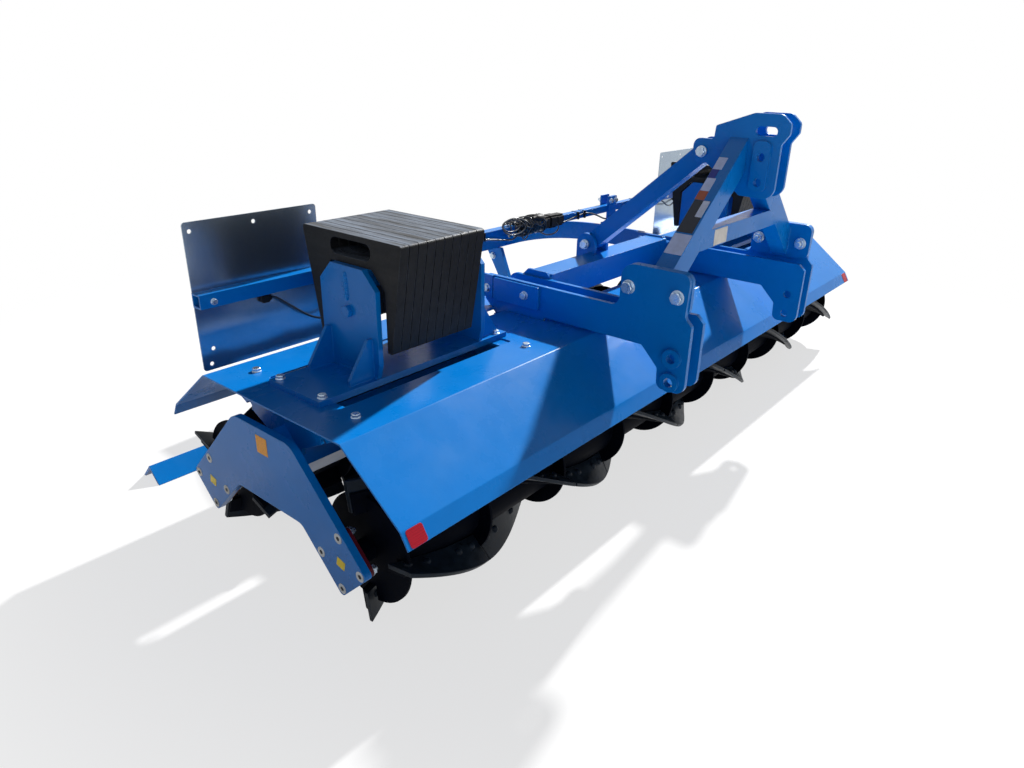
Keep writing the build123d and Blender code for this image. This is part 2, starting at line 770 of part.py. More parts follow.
def mast_head():
    """A top plate: a lobe for the stay's pin, a slot and two holes for the upper link."""
    horn = mast_pin_z + mast_horn_rise
    rows = [
        (mast_pin_y + mast_lobe_rear, mast_pin_z + mast_lobe_rise, 24),
        (mast_pin_y - mast_lobe_front, mast_pin_z + mast_lobe_rise, 8),
        (mast_pin_y - mast_lobe_front - 3, mast_pin_z + mast_neck_rise, 8),
        (mast_tip + mast_horn_length, horn, 30),
        (mast_tip + 30, horn, 25),
        (mast_tip, horn - 27, 15),
        (mast_tip, horn - 57, 12),
        (mast_front, mast_pin_z + mast_waist_rise, 12),
        (mast_front, top_hole_z - mast_toe_drop, 36),
        (mast_front + mast_toe_length, top_hole_z - mast_toe_drop + 3, 12),
        (mast_pin_y - 21, mast_pin_z - mast_lobe_drop - 5, 25),
        (mast_pin_y + mast_lobe_rear, mast_pin_z - mast_lobe_drop, 22),
    ]
    x0 = mast_gap / 2
    solid = plate_x(rows, x0, mast_outside)
    slot_z = top_hole_z + 2 * top_hole_pitch
    doubler = [
        (top_hole_y + doubler_half, top_hole_z - doubler_half, 20),
        (top_hole_y + doubler_half, slot_z - doubler_half, 20),
        (top_hole_y - doubler_half, slot_z - doubler_half, 20),
        (top_hole_y - doubler_half, top_hole_z - doubler_half, 20),
    ]
    solid += plate_x(doubler, mast_outside, mast_outside + doubler_plate)
    slot = SlotOverall(top_slot_length, top_slot_height)
    solid -= extrude(Plane.YZ.offset(x0 - 1) * Pos(top_hole_y - 4, slot_z) * slot, amount=mast_plate + 2)
    for i in range(2):
        z = top_hole_z + i * top_hole_pitch
        solid -= rod_x(x0 - 1, mast_outside + doubler_plate + 1, top_hole_y, z, top_hole_radius)
    return solid - rod_x(x0 - 1, mast_outside + 1, mast_pin_y, mast_pin_z, stay_pin_radius + running_gap)


def leg_line(x, drop):
    """Height of a line along the mast leg, drop below its upper face measured square to it."""
    slope = radians(mast_leg_slope)
    return mast_leg_top - (x - mast_outside) * tan(slope) - drop / cos(slope)


def mast_leg():
    """A rectangular tube from the foot plate up to the mast plate, its ends cut upright."""
    x1 = arm_outer_inside - mast_foot_plate
    half = mast_leg_width / 2
    solids = []
    for drop0, drop1, y in (
        (0, mast_leg_depth, half),
        (mast_leg_wall, mast_leg_depth - mast_leg_wall, half - mast_leg_wall),
    ):
        rows = [
            (mast_outside, leg_line(mast_outside, drop0), 0),
            (x1, leg_line(x1, drop0), 0),
            (x1, leg_line(x1, drop1), 0),
            (mast_outside, leg_line(mast_outside, drop1), 0),
        ]
        solids.append(plate_y(rows, mast_leg_y - y, mast_leg_y + y))
    return solids[0] - solids[1]


def mast_cross_tube():
    """A tube between the legs, its ends cut to their lower faces."""
    top = mast_cross_bottom + mast_cross_height

    def leg_x(z):
        return mast_outside + (leg_line(mast_outside, mast_leg_depth) - z) / tan(radians(mast_leg_slope))

    rows = [
        (leg_x(top), top, 0),
        (leg_x(mast_cross_bottom), mast_cross_bottom, 0),
        (-leg_x(mast_cross_bottom), mast_cross_bottom, 0),
        (-leg_x(top), top, 0),
    ]
    return plate_y(rows, mast_leg_y - mast_leg_width / 2, mast_leg_y + mast_leg_width / 2)


def mast_foot():
    rows = [
        (block_rear, mast_foot_bottom, mast_foot_corner),
        (block_rear, block_top, 46),
        (block_front, block_top, mast_foot_corner),
        (block_front, mast_foot_bottom, mast_foot_corner),
    ]
    return plate_x(rows, arm_outer_inside - mast_foot_plate, arm_outer_inside)


def light_sleeve(shift):
    """A square tube that slides on the light bar's end and carries a board."""
    length = sleeve_outer_x - sleeve_inner_x
    bore = light_bar_side + 2 * running_gap
    solid = Box(length, sleeve_side, sleeve_side) - Box(length, bore, bore)
    return Pos((sleeve_outer_x + sleeve_inner_x) / 2 + shift, light_bar_y, light_bar_z) * solid


def light_board(shift):
    """A flat square sheet, upright behind the sleeve, drilled for its bolts."""
    x1 = board_outer_x + shift
    x0 = x1 - board_side
    top = board_bottom + board_side
    y = light_bar_y + sleeve_side / 2
    rows = [(x0, board_bottom, board_corner), (x1, board_bottom, board_corner),
            (x1, top, board_corner), (x0, top, board_corner)]
    solid = plate_y(rows, y, y + board_thickness)
    # Columns: distance in from the outer edge, height above the lower edge
    for inward, up in ((19, 398), (210, 399), (401, 401), (37, 62), (26, 18)):
        solid -= rod_y(y - 1, y + board_thickness + 1, x1 - inward, board_bottom + up, board_hole_radius)
    return solid


def lamp(shift):
    """A rear lamp on the board's rear face and the socket of its lead on the front one."""
    face = light_bar_y + sleeve_side / 2 + board_thickness
    x = lamp_x + shift
    lens = RectangleRounded(lamp_length, lamp_height, lamp_corner)
    return extrude(Plane.XZ.offset(-face) * Pos(x, lamp_z) * lens, amount=-lamp_depth)


def light_strut(reach):
    """An upright flat in front of the light bar, its foot on the arched arm's outer face."""
    bar_face = light_bar_y - light_bar_side / 2
    arm_face = arm_outer_face + side_plate
    x0 = arm_face + reach
    x1 = x0 + strut_width
    low = arch_bottom + arch_height - strut_lap
    rows = [(arm_face, low, 0), (x1, low, 0), (x1, strut_top, 6), (x0, strut_top, 6)]
    if reach > 0:
        rows += [(x0, low + strut_foot_height, 0), (arm_face, low + strut_foot_height, 0)]
    return plate_y(rows, bar_face - strut_plate, bar_face)


def light_clamp(reach):
    """The plate behind the light bar that is bolted to the flat in front of it."""
    x0 = arm_outer_face + side_plate + reach
    y0 = light_bar_y + light_bar_side / 2
    return block(x0, x0 + strut_width, y0, y0 + clamp_plate, strut_top - clamp_height, strut_top)


os.makedirs("parts", exist_ok=True)

# The root body
save("main_beam", main_beam())
save("end_plate_left", end_plate())
save("end_plate_right", mirrored(end_plate()))
save("bearings", *[place for y in (-axle_y, axle_y) for place in (bearing(y), mirrored(bearing(y)))])

wing_end_x = beam_half_length - wing_end_inset
wing_base_x = weight_base_x0 + wing_base_inset
# Columns: middle of the web, the flange's two edges
wing_places = (
    (wing_end_x, wing_end_x - wing_end_flange, wing_end_x),
    (wing_base_x, wing_base_x - wing_base_flange / 2, wing_base_x + wing_base_flange / 2),
)
wings = [wing_bracket(*place) for place in wing_places]
save("hood_brackets", *wings, *[mirrored(wing) for wing in wings])
save("hood_front", hood(-1))
save("hood_rear", hood(1))

save("weight_base_left", weight_base())
save("weight_base_right", mirrored(weight_base()))
# The left weights stand against the inner support, the right ones against the outer one.
left_x0 = weight_support_x0 + weight_support_plate + weight_gap
right_x0 = weight_support_x1 - weight_support_plate - weight_pack
save("weights_left", *weights(left_x0))
save("weights_right", *[mirrored(weight) for weight in weights(right_x0)])

# Columns: name, its maker; each stands once on either side
paired = (
    ("arm_saddle", saddle),
    ("arm_outer", arm_outer),
    ("arm_inner", arm_inner),
    ("arch_arm", arch_arm),
    ("mast_foot", mast_foot),
    ("mast_leg", mast_leg),
    ("mast_plate", mast_head),
)
for name, maker in paired:
    save(name + "_left", maker())
    save(name + "_right", mirrored(maker()))

save("splice_plates", splice(), mirrored(splice()))
save("cross_tube", cross_tube())
save("stay_ears", stay_ear(), mirrored(stay_ear()))
save("stay_bar", stay_bar())
save("stay_pins", *stay_pins())
save("mast_cross_tube", mast_cross_tube())

save("drag_tube", drag_tube())
save("drag_arms", drag_arm(), mirrored(drag_arm()))
save("drag_bar", drag_bar())

bar = Pos(0, light_bar_y, light_bar_z) * Box(2 * light_bar_half, light_bar_side, light_bar_side)
save("light_bar", bar)
save("light_sleeves", light_sleeve(left_pull_out), mirrored(light_sleeve(0)))
save("light_board_left", light_board(left_pull_out))
save("light_board_right", mirrored(light_board(0)))
save("lamps", lamp(left_pull_out), mirrored(lamp(0)))
save("light_struts", light_strut(strut_reach_left), mirrored(light_strut(strut_reach_right)))
save("light_clamps", light_clamp(strut_reach_left), mirrored(light_clamp(strut_reach_right)))

# The two drums
# Columns: name, y of the axle, hand of the knives' helix
for name, y, hand in (("front", -axle_y, 1), ("rear", axle_y, -1)):
    save("drum_" + name, drum(y, hand))
    save("knives_" + name, *knives(y, hand))
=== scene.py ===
import json
import math
import random

import bmesh
import bpy
from mathutils import Matrix, Vector


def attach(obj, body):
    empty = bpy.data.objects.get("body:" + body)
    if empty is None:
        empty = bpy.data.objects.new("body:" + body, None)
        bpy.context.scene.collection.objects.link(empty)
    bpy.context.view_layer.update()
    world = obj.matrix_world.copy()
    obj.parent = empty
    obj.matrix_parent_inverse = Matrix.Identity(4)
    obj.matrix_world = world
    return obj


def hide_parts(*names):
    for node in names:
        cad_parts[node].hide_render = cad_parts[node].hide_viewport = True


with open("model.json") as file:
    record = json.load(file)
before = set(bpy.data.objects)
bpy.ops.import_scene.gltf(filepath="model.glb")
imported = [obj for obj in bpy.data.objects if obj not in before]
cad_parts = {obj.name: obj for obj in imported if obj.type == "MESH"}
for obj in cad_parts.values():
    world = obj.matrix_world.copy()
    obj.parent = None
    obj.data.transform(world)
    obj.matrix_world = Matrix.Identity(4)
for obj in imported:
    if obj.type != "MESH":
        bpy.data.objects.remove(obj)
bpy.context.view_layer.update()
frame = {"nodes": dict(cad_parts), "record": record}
nodes = frame["nodes"]
scene = bpy.context.scene
random.seed(7)

# Lengths are in millimetres from the point on the ground midway between the drum axles, as in
# the part's source. Materials, floor and lights are in metres.
MIDDLE_Y = 167.5
AXLE_Y = 287.5
AXLE_Z = 195.0


def place(x, y, z):
    """A point of the part in the shared frame, in metres."""
    return Vector((x / 1000, (y - MIDDLE_Y) / 1000, z / 1000))


# The camera stands where the photograph was taken from.
CAMERA_AT = (-2370, -1506, 1301)
CAMERA_AZIMUTH = math.radians(-50.54)
CAMERA_ELEVATION = math.radians(23.66)
CAMERA_ROLL = math.radians(1.21)
CAMERA_LENS = 25.76


def add_camera():
    camera = bpy.data.objects.new("camera", bpy.data.cameras.new("camera"))
    scene.collection.objects.link(camera)
    azimuth, elevation = CAMERA_AZIMUTH, CAMERA_ELEVATION
    back = Vector((math.sin(azimuth) * math.cos(elevation),
                   -math.cos(azimuth) * math.cos(elevation),
                   math.sin(elevation)))
    right = (-back).cross(Vector((0, 0, 1))).normalized()
    up = right.cross(-back)
    rolled_right = math.cos(CAMERA_ROLL) * right + math.sin(CAMERA_ROLL) * up
    rolled_up = math.cos(CAMERA_ROLL) * up - math.sin(CAMERA_ROLL) * right
    turn = Matrix((rolled_right, rolled_up, back)).transposed().to_4x4()
    camera.matrix_world = Matrix.Translation(place(*CAMERA_AT)) @ turn
    camera.data.sensor_width = 36
    camera.data.lens = CAMERA_LENS
    camera.data.clip_end = 200
    scene.camera = camera


add_camera()


# Materials
class Tree:
    """A material's node tree, with short calls for the nodes used here."""

    def __init__(self, name):
        self.material = bpy.data.materials.new(name)
        self.material.use_nodes = True
        self.nodes = self.material.node_tree.nodes
        self.links = self.material.node_tree.links
        self.shader = self.nodes["Principled BSDF"]
        self.at = self.nodes.new("ShaderNodeTexCoord").outputs["Object"]

    def new(self, kind, inputs=None, **values):
        node = self.nodes.new(kind)
        for key, value in values.items():
            setattr(node, key, value)
        for key, value in (inputs or {}).items():
            self.put(node.inputs[key], value)
        return node

    def put(self, socket, value):
        if isinstance(value, bpy.types.NodeSocket):
            self.links.new(value, socket)
        else:
            socket.default_value = value

    def stretch(self, scale):
        return self.new("ShaderNodeMapping", {"Vector": self.at, "Scale": scale}).outputs["Vector"]

    def noise(self, scale, detail=3.0, rough=0.5, vector=None):
        inputs = {"Vector": vector or self.at, "Scale": scale, "Detail": detail, "Roughness": rough}
        return self.new("ShaderNodeTexNoise", inputs).outputs["Fac"]

    def steps(self, value, low, high, out_low=0.0, out_high=1.0):
        inputs = {"Value": value, "From Min": low, "From Max": high,
                  "To Min": out_low, "To Max": out_high}
        return self.new("ShaderNodeMapRange", inputs, clamp=True).outputs["Result"]

    def mix(self, amount, a, b):
        node = self.new("ShaderNodeMix", data_type="RGBA")
        self.put(node.inputs["Factor"], amount)
        self.put(node.inputs["A"], a)
        self.put(node.inputs["B"], b)
        return node.outputs["Result"]

    def math(self, kind, a, b=0.0):
        node = self.new("ShaderNodeMath", operation=kind)
        self.put(node.inputs[0], a)
        self.put(node.inputs[1], b)
        return node.outputs["Value"]

    def times(self, a, b):
        return self.math("MULTIPLY", a, b)

    def plus(self, a, b):
        return self.math("ADD", a, b)

    def upward(self):
        normal = self.new("ShaderNodeNewGeometry").outputs["Normal"]
        return self.new("ShaderNodeSeparateXYZ", {"Vector": normal}).outputs["Z"]

    def edges(self, radius):
        """Near 1 along sharp edges, from how far the rounded normal turns from the true one."""
        soft = self.new("ShaderNodeBevel", {"Radius": radius}, samples=4).outputs["Normal"]
        true = self.new("ShaderNodeNewGeometry").outputs["Normal"]
        turned = self.new("ShaderNodeVectorMath", {0: soft, 1: true}, operation="DOT_PRODUCT")
        return self.steps(turned.outputs["Value"], 0.995, 0.85)

    def rubbed(self, shade, bare, amount, radius, patches):
        """The shade with its sharp edges rubbed towards the bare colour, in patches."""
        worn = self.times(self.edges(radius), patches)
        return self.mix(self.times(worn, amount), shade, bare)

    def bump(self, height, strength, distance, bevel=0.0):
        inputs = {"Height": height, "Strength": strength, "Distance": distance}
        if bevel:
            rounded = self.new("ShaderNodeBevel", {"Radius": bevel}, samples=4)
            inputs["Normal"] = rounded.outputs["Normal"]
        self.put(self.shader.inputs["Normal"], self.new("ShaderNodeBump", inputs).outputs["Normal"])

    def set(self, **values):
        names = {"color": "Base Color", "rough": "Roughness", "metal": "Metallic",
                 "coat": "Coat Weight", "coat_rough": "Coat Roughness",
                 "specular": "Specular IOR Level"}
        for key, value in values.items():
            self.put(self.shader.inputs[names[key]], value)
        return self.material


def rgb(red, green, blue):
    return (red, green, blue, 1.0)


def darker(color, share):
    return tuple(share * channel for channel in color[:3]) + (1.0,)


def paint(name, color, paler, rough=0.22, coat=0.06):
    """Sprayed gloss paint: slight orange peel, thin dust where it faces up, rubbed edges."""
    edge = 0.0022
    t = Tree(name)
    cloud = t.noise(2.3, 4.0, 0.6)
    shade = t.mix(t.steps(cloud, 0.35, 0.7), color, darker(color, 0.86))
    dust = t.times(t.steps(t.upward(), 0.35, 1.0), t.steps(t.noise(9.0, 6.0, 0.65), 0.45, 0.75))
    shade = t.mix(t.times(dust, 0.07), shade, paler)
    shade = t.rubbed(shade, paler, 0.4, edge, t.steps(t.noise(60.0, 5.0, 0.6), 0.42, 0.6))
    grain = t.noise(5.5, 5.0, 0.6)
    peel = t.plus(t.noise(240.0, 2.0), t.times(t.noise(26.0, 2.0), 1.6))
    t.bump(peel, 0.16, 0.0006, edge)
    return t.set(color=shade, rough=t.steps(grain, 0.3, 0.7, rough, rough + 0.14),
                 coat=coat, coat_rough=0.08, specular=0.14)


def cast_iron(name):
    """Black painted castings: upper faces streaked paler, partly dust and partly a painted
    reflection of the sky, and scuffed edges.
    """
    black, faded = rgb(0.003, 0.0035, 0.0045), rgb(0.008, 0.009, 0.011)
    paler, bare = rgb(0.17, 0.205, 0.26), rgb(0.10, 0.12, 0.145)
    edge = 0.0028
    t = Tree(name)
    streak = t.noise(14.0, 8.0, 0.7, t.stretch((4.0, 0.35, 3.0)))
    # Painted sky sheen mixed with dust: faces that look up are lightened in streaks towards the
    # paler colour.
    top = t.times(t.steps(t.upward(), 0.5, 1.0), t.steps(streak, 0.36, 0.62))
    shade = t.mix(t.steps(t.noise(6.0, 6.0, 0.65), 0.3, 0.75), black, faded)
    shade = t.mix(t.times(top, 0.9), shade, paler)
    shade = t.rubbed(shade, bare, 0.5, edge, t.steps(t.noise(45.0, 5.0, 0.65), 0.4, 0.62))
    pits = t.plus(t.noise(420.0, 3.0), t.times(t.noise(70.0, 4.0), 1.4))
    t.bump(pits, 0.42, 0.0012, edge)
    return t.set(color=shade, rough=t.steps(streak, 0.3, 0.7, 0.36, 0.58), specular=0.16)


def dark_steel(name, dark, light, rough, specular, bare):
    """Dark coated steel with mill streaks along it and bright rubbed edges."""
    edge = 0.002
    t = Tree(name)
    streak = t.noise(9.0, 7.0, 0.7, t.stretch((0.6, 5.0, 5.0)))
    shade = t.mix(t.steps(streak, 0.35, 0.7), dark, light)
    shade = t.rubbed(shade, bare, 0.7, edge, t.steps(t.noise(38.0, 5.0, 0.6), 0.42, 0.6))
    t.bump(t.plus(t.noise(180.0, 4.0), t.noise(22.0, 3.0)), 0.22, 0.001, edge)
    return t.set(color=shade, rough=t.steps(streak, 0.3, 0.75, rough, rough + 0.2),
                 specular=specular)


def galvanised(name):
    """Zinc-coated sheet: faint spangle, fine rolling grain and a few scuffs."""
    spangle_dark, spangle_light = rgb(0.36, 0.44, 0.52), rgb(0.40, 0.48, 0.56)
    t = Tree(name)
    cells = t.new("ShaderNodeTexVoronoi", {"Vector": t.at, "Scale": 110.0, "Randomness": 1.0})
    grey = t.new("ShaderNodeSeparateColor", {"Color": cells.outputs["Color"]}).outputs["Red"]
    grain = t.noise(160.0, 4.0, 0.6, t.stretch((3.0, 3.0, 0.12)))
    cloud = t.noise(4.0, 3.0, 0.5)
    shade = t.mix(t.steps(grey, 0.0, 1.0), spangle_dark, spangle_light)
    shade = t.mix(t.steps(grain, 0.35, 0.7, 0.0, 0.35), shade, rgb(0.28, 0.34, 0.42))
    shade = t.mix(t.steps(cloud, 0.4, 0.7, 0.0, 0.3), shade, rgb(0.26, 0.31, 0.38))
    scuffs = t.steps(t.noise(11.0, 8.0, 0.75, t.stretch((1.0, 1.0, 2.5))), 0.71, 0.76)
    shade = t.mix(t.times(scuffs, 0.35), shade, rgb(0.55, 0.60, 0.66))
    t.bump(t.plus(t.times(grey, 0.2), t.times(grain, 0.4)), 0.04, 0.0004, 0.001)
    return t.set(color=shade, rough=t.steps(cloud, 0.3, 0.7, 0.20, 0.28), metal=0.95)


def zinc(name, color=rgb(0.55, 0.66, 0.78)):
    """Plated fasteners: bright metal with a fine blotch; the default colour is tinted blue as a
    painted reflection of the sky.
    """
    t = Tree(name)
    blot = t.noise(90.0, 5.0, 0.6)
    shade = t.mix(t.steps(blot, 0.35, 0.7), color, darker(color, 0.7))
    t.bump(t.noise(500.0, 3.0), 0.06, 0.0003, 0.0005)
    return t.set(color=shade, rough=t.steps(blot, 0.3, 0.7, 0.22, 0.4), metal=0.95)


def plain(name, color, rough, metal=0.0, coat=0.0):
    """Film, label stock or moulded plastic: one colour with a soft mottle and a fine grain."""
    t = Tree(name)
    blot = t.noise(35.0, 4.0, 0.6)
    shade = t.mix(t.steps(blot, 0.3, 0.75), color, darker(color, 0.8))
    t.bump(t.noise(300.0, 3.0), 0.08, 0.0004, 0.0006)
    return t.set(color=shade, rough=t.steps(blot, 0.3, 0.7, rough, rough + 0.1), metal=metal,
                 coat=coat, specular=0.2)


def reflector_film(name, color):
    """Reflective film: a small honeycomb under a clear skin."""
    t = Tree(name)
    cells = t.new("ShaderNodeTexVoronoi", {"Vector": t.at, "Scale": 320.0, "Randomness": 0.15},
                  feature="DISTANCE_TO_EDGE").outputs["Distance"]
    rim = t.steps(cells, 0.02, 0.12)
    shade = t.mix(rim, darker(color, 0.55), color)
    t.bump(rim, 0.2, 0.0004, 0.0006)
    return t.set(color=shade, rough=t.steps(rim, 0.0, 1.0, 0.45, 0.34), coat=0.05, coat_rough=0.1,
                 specular=0.15)


BLUE = paint("blue_paint", rgb(0.0, 0.18, 0.58), rgb(0.14, 0.42, 0.72))
# The drum and knife colours are black steel darkened further, as painted shade for the hood's
# shadow the drums turn in.
DRUM = dark_steel("drum_paint", rgb(0.0008, 0.0015, 0.004), rgb(0.0025, 0.004, 0.009), 0.5, 0.02,
                  bare=rgb(0.02, 0.025, 0.035))
KNIFE = dark_steel("knife_steel", rgb(0.005, 0.009, 0.015), rgb(0.016, 0.026, 0.040), 0.26, 0.07,
                   bare=rgb(0.11, 0.13, 0.16))
IRON = cast_iron("weight_iron")
GALVANISED = galvanised("galvanised_steel")
BEARING = paint("bearing_paint", rgb(0.10, 0.006, 0.014), rgb(0.22, 0.06, 0.06), 0.34, 0.1)
ZINC = zinc("zinc")
LAMP = plain("lamp_plastic", rgb(0.02, 0.02, 0.022), 0.35, coat=0.3)
CREAM = plain("cream_cap", rgb(0.70, 0.68, 0.60), 0.4)
GREY_CAP = zinc("grey_cap", rgb(0.32, 0.34, 0.36))
# Near black, as painted shade for the hexagon sockets of the bolts under the caps.
SOCKET_SHADE = plain("painted_socket_shade", rgb(0.012, 0.012, 0.014), 0.6)
RUBBER = plain("black_rubber", rgb(0.012, 0.012, 0.013), 0.5)
LEAD_RUBBER = plain("lead_rubber", rgb(0.045, 0.05, 0.058), 0.25, coat=0.3)
RED_FILM = reflector_film("red_reflector", rgb(0.46, 0.008, 0.025))
ORANGE_FILM = reflector_film("orange_reflector", rgb(1.0, 0.40, 0.01))
YELLOW = plain("yellow_label", rgb(1.0, 0.72, 0.03), 0.35)
LILAC = plain("lilac_label", rgb(0.66, 0.74, 1.0), 0.35)
NAVY = plain("navy_label", rgb(0.015, 0.03, 0.26), 0.35)
BROWN = plain("brown_label", rgb(0.46, 0.12, 0.06), 0.35)
BLACK_LABEL = plain("black_label", rgb(0.004, 0.010, 0.024), 0.3)
WHITE_LABEL = plain("white_label", rgb(0.74, 0.80, 0.95), 0.35)
SILVER_PLATE = plain("silver_plate", rgb(0.55, 0.53, 0.50), 0.35, metal=0.6)
LENS_RED = plain("red_lens", rgb(0.35, 0.006, 0.01), 0.12, coat=0.8)
LENS_AMBER = plain("amber_lens", rgb(0.75, 0.20, 0.01), 0.12, coat=0.8)
LENS_CLEAR = plain("clear_lens", rgb(0.60, 0.60, 0.60), 0.12, coat=0.8)

finishes = {"blue_paint": BLUE, "drum_paint": DRUM, "knife_steel": KNIFE,
            "weight_iron": IRON, "galvanised_steel": GALVANISED, "bearing_paint": BEARING,
            "zinc": ZINC, "lamp_plastic": LAMP}
for part in frame["record"]["subparts"]:
    mesh = nodes[part["node"]].data
    mesh.materials.clear()
    mesh.materials.append(finishes[part["material_slot"]])
# The light bar and its sleeves are painted like the frame
for name in ("light_sleeves", "light_bar"):
    nodes[name].data.materials[0] = BLUE


# Pieces in mesh code
def to_object(mesh, name, material, body, smooth=None):
    """A piece on a body; smooth is the angle in degrees past which an edge stays sharp."""
    data = bpy.data.meshes.new(name)
    mesh.to_mesh(data)
    mesh.free()
    piece = bpy.data.objects.new(name, data)
    scene.collection.objects.link(piece)
    data.materials.append(material)
    if smooth is not None:
        for polygon in data.polygons:
            polygon.use_smooth = True
        data.set_sharp_from_angle(angle=math.radians(smooth))
    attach(piece, body)
    return piece


def outward(mesh):
    """The same mesh with its faces turned outwards."""
    bmesh.ops.recalc_face_normals(mesh, faces=mesh.faces)
    return mesh


def bridge(mesh, loops, closed=True):
    """Faces between rows of corners that follow each other."""
    count = len(loops[0])
    for near, far in zip(loops[:-1], loops[1:]):
        for k in range(count if closed else count - 1):
            mesh.faces.new((near[k], near[(k + 1) % count], far[(k + 1) % count], far[k]))


def solid(mesh, loops):
    """A closed solid over rings of corners that follow each other."""
    bridge(mesh, loops)
    mesh.faces.new(loops[0][::-1])
    mesh.faces.new(loops[-1])


def basis(axis):
    """A turn whose local Z is the axis."""
    axis = Vector(axis).normalized()
    side = Vector((0, 0, 1)) if abs(axis.z) < 0.9 else Vector((0, 1, 0))
    x = side.cross(axis).normalized()
    return Matrix((x, axis.cross(x), axis)).transposed().to_4x4()


def standing(at, axis):
    """Where a turned solid stands at a point with its axis along the given one."""
    return Matrix.Translation(at) @ basis(axis)


def rings(mesh, sections, count, where, phase=0.0, sides=None):
    """A turned solid from (radius, height) sections; sides makes a ring a polygon."""
    loops = []
    for i, (radius, height) in enumerate(sections):
        loop = []
        for k in range(count):
            angle = phase + 2 * math.pi * k / count
            reach = radius
            if sides and sides[i]:
                sector = 2 * math.pi / sides[i]
                flat = radius * math.cos(sector / 2)
                reach = flat / math.cos((angle - phase) % sector - sector / 2)
            loop.append(mesh.verts.new(where @ Vector((reach * math.cos(angle) / 1000,
                                                       reach * math.sin(angle) / 1000,
                                                       height / 1000))))
        loops.append(loop)
    solid(mesh, loops)


# Fasteners in shares of the thread's diameter
WASHER_RADIUS, WASHER_THICK = 1.05, 0.16
HEAD_CORNER, HEAD_HEIGHT = 0.92, 0.65


def hex_head(mesh, at, axis, size, turn=0.0, washer=True, stud=0.0):
    """A hexagon head or nut; size is the thread's diameter and stud what sticks out of it."""
    where = standing(at, axis)
    base = 0.0
    if washer:
        base = WASHER_THICK * size
        rim = WASHER_RADIUS * size
        rings(mesh, ((rim, 0), (rim, 0.8 * base), (1.0 * size, base)), 24, where)
    corner = HEAD_CORNER * size
    top = base + HEAD_HEIGHT * size
    rings(mesh, ((corner, base), (corner, top - 0.08 * size), (0.84 * corner, top),
                 (0.4 * corner, top)), 24, where, turn, (6, 6, None, None))
    if stud:
        rings(mesh, ((0.5 * size, top), (0.5 * size, top + stud - 0.1 * size),
                     (0.4 * size, top + stud)), 16, where)


def dome_head(mesh, at, axis, radius):
    rings(mesh, ((radius, 0), (radius, 0.12 * radius), (0.88 * radius, 0.36 * radius),
                 (0.6 * radius, 0.55 * radius), (0.25 * radius, 0.62 * radius)),
          16, standing(at, axis))


def slab(mesh, corner_a, u, v, width, height, thick, radius=0.0, steps=4):
    """A thin plate with rounded corners from corner_a along u and v; it rises along u x v."""
    u, v = Vector(u).normalized(), Vector(v).normalized()
    out = u.cross(v)
    outline = []
    if radius:
        right, top = width - radius, height - radius
        for cx, cy, start in ((right, radius, -90), (right, top, 0),
                              (radius, top, 90), (radius, radius, 180)):
            for k in range(steps + 1):
                angle = math.radians(start + 90 * k / steps)
                outline.append((cx + radius * math.cos(angle), cy + radius * math.sin(angle)))
    else:
        outline = [(0, 0), (width, 0), (width, height), (0, height)]
    rim = 0.3 * thick
    loops = []
    for lift, inset in ((0.0, 0.0), (thick - rim, 0.0), (thick, rim)):
        loop = []
        for a, b in outline:
            a += inset if a < width / 2 else -inset
            b += inset if b < height / 2 else -inset
            loop.append(mesh.verts.new(corner_a + (u * a + v * b + out * lift) / 1000))
        loops.append(loop)
    solid(mesh, loops)


WELD_RIPPLE = 3.2


def weld(mesh, a, b, size, out):
    """A bead of overlapping ripples from a to b that bulges along out."""
    a, b, out = place(*a), place(*b), Vector(out).normalized()
    across = (b - a).normalized().cross(out)
    count = max(3, int((b - a).length * 1000 / WELD_RIPPLE))
    loops = []
    for i in range(count + 1):
        taper = min(1.0, 0.35 + 1.6 * min(i, count - i) / count * 4)
        ripple = (0.82 + 0.18 * (i % 2)) * taper * (1 + 0.08 * (random.random() - 0.5))
        reach = size * ripple / 1000
        middle = a + (b - a) * i / count
        loops.append([mesh.verts.new(middle + across * reach * math.cos(math.pi * k / 6)
                                     + out * reach * 0.7 * math.sin(math.pi * k / 6))
                      for k in range(7)])
    bridge(mesh, loops, closed=False)
    mesh.faces.new(loops[0])
    mesh.faces.new(loops[-1][::-1])


def curve_through(points, steps=8):
    """Points of a smooth curve through the given ones, in metres."""
    ends = [points[0]] + list(points) + [points[-1]]
    path = []
    for a, b, c, d in zip(ends, ends[1:], ends[2:], ends[3:]):
        for k in range(steps):
            t = k / steps
            path.append(tuple(0.5 * (2 * q + (r - p) * t + (2 * p - 5 * q + 4 * r - w) * t * t
                                     + (3 * q - p - 3 * r + w) * t ** 3)
                              for p, q, r, w in zip(a, b, c, d)))
    return [place(*point) for point in path + [points[-1]]]


def tube(mesh, path, diameter, sides=8):
    """A round lead along the path, whose points are in metres."""
    reach = diameter / 2000
    loops = []
    across = None
    for i, point in enumerate(path):
        along = (path[min(i + 1, len(path) - 1)] - path[max(i - 1, 0)]).normalized()
        if across is None:
            across = basis(along).col[0].to_3d()
        across = (across - along * across.dot(along)).normalized()
        other = along.cross(across)
        loops.append([mesh.verts.new(point + across * reach * math.cos(2 * math.pi * k / sides)
                                     + other * reach * math.sin(2 * math.pi * k / sides))
                      for k in range(sides)])
    solid(mesh, loops)


def box(mesh, low, high, bevel):
    """A block between two corners with rounded edges."""
    made = bmesh.ops.create_cube(mesh, size=1.0)
    low, high = place(*low), place(*high)
    for vert in made["verts"]:
        vert.co = Vector([a + (b - a) * (c + 0.5) for a, b, c in zip(low, high, vert.co)])
    edges = {edge for vert in made["verts"] for edge in vert.link_edges}
    bmesh.ops.bevel(mesh, geom=list(edges), offset=bevel / 1000, segments=2, affect="EDGES")


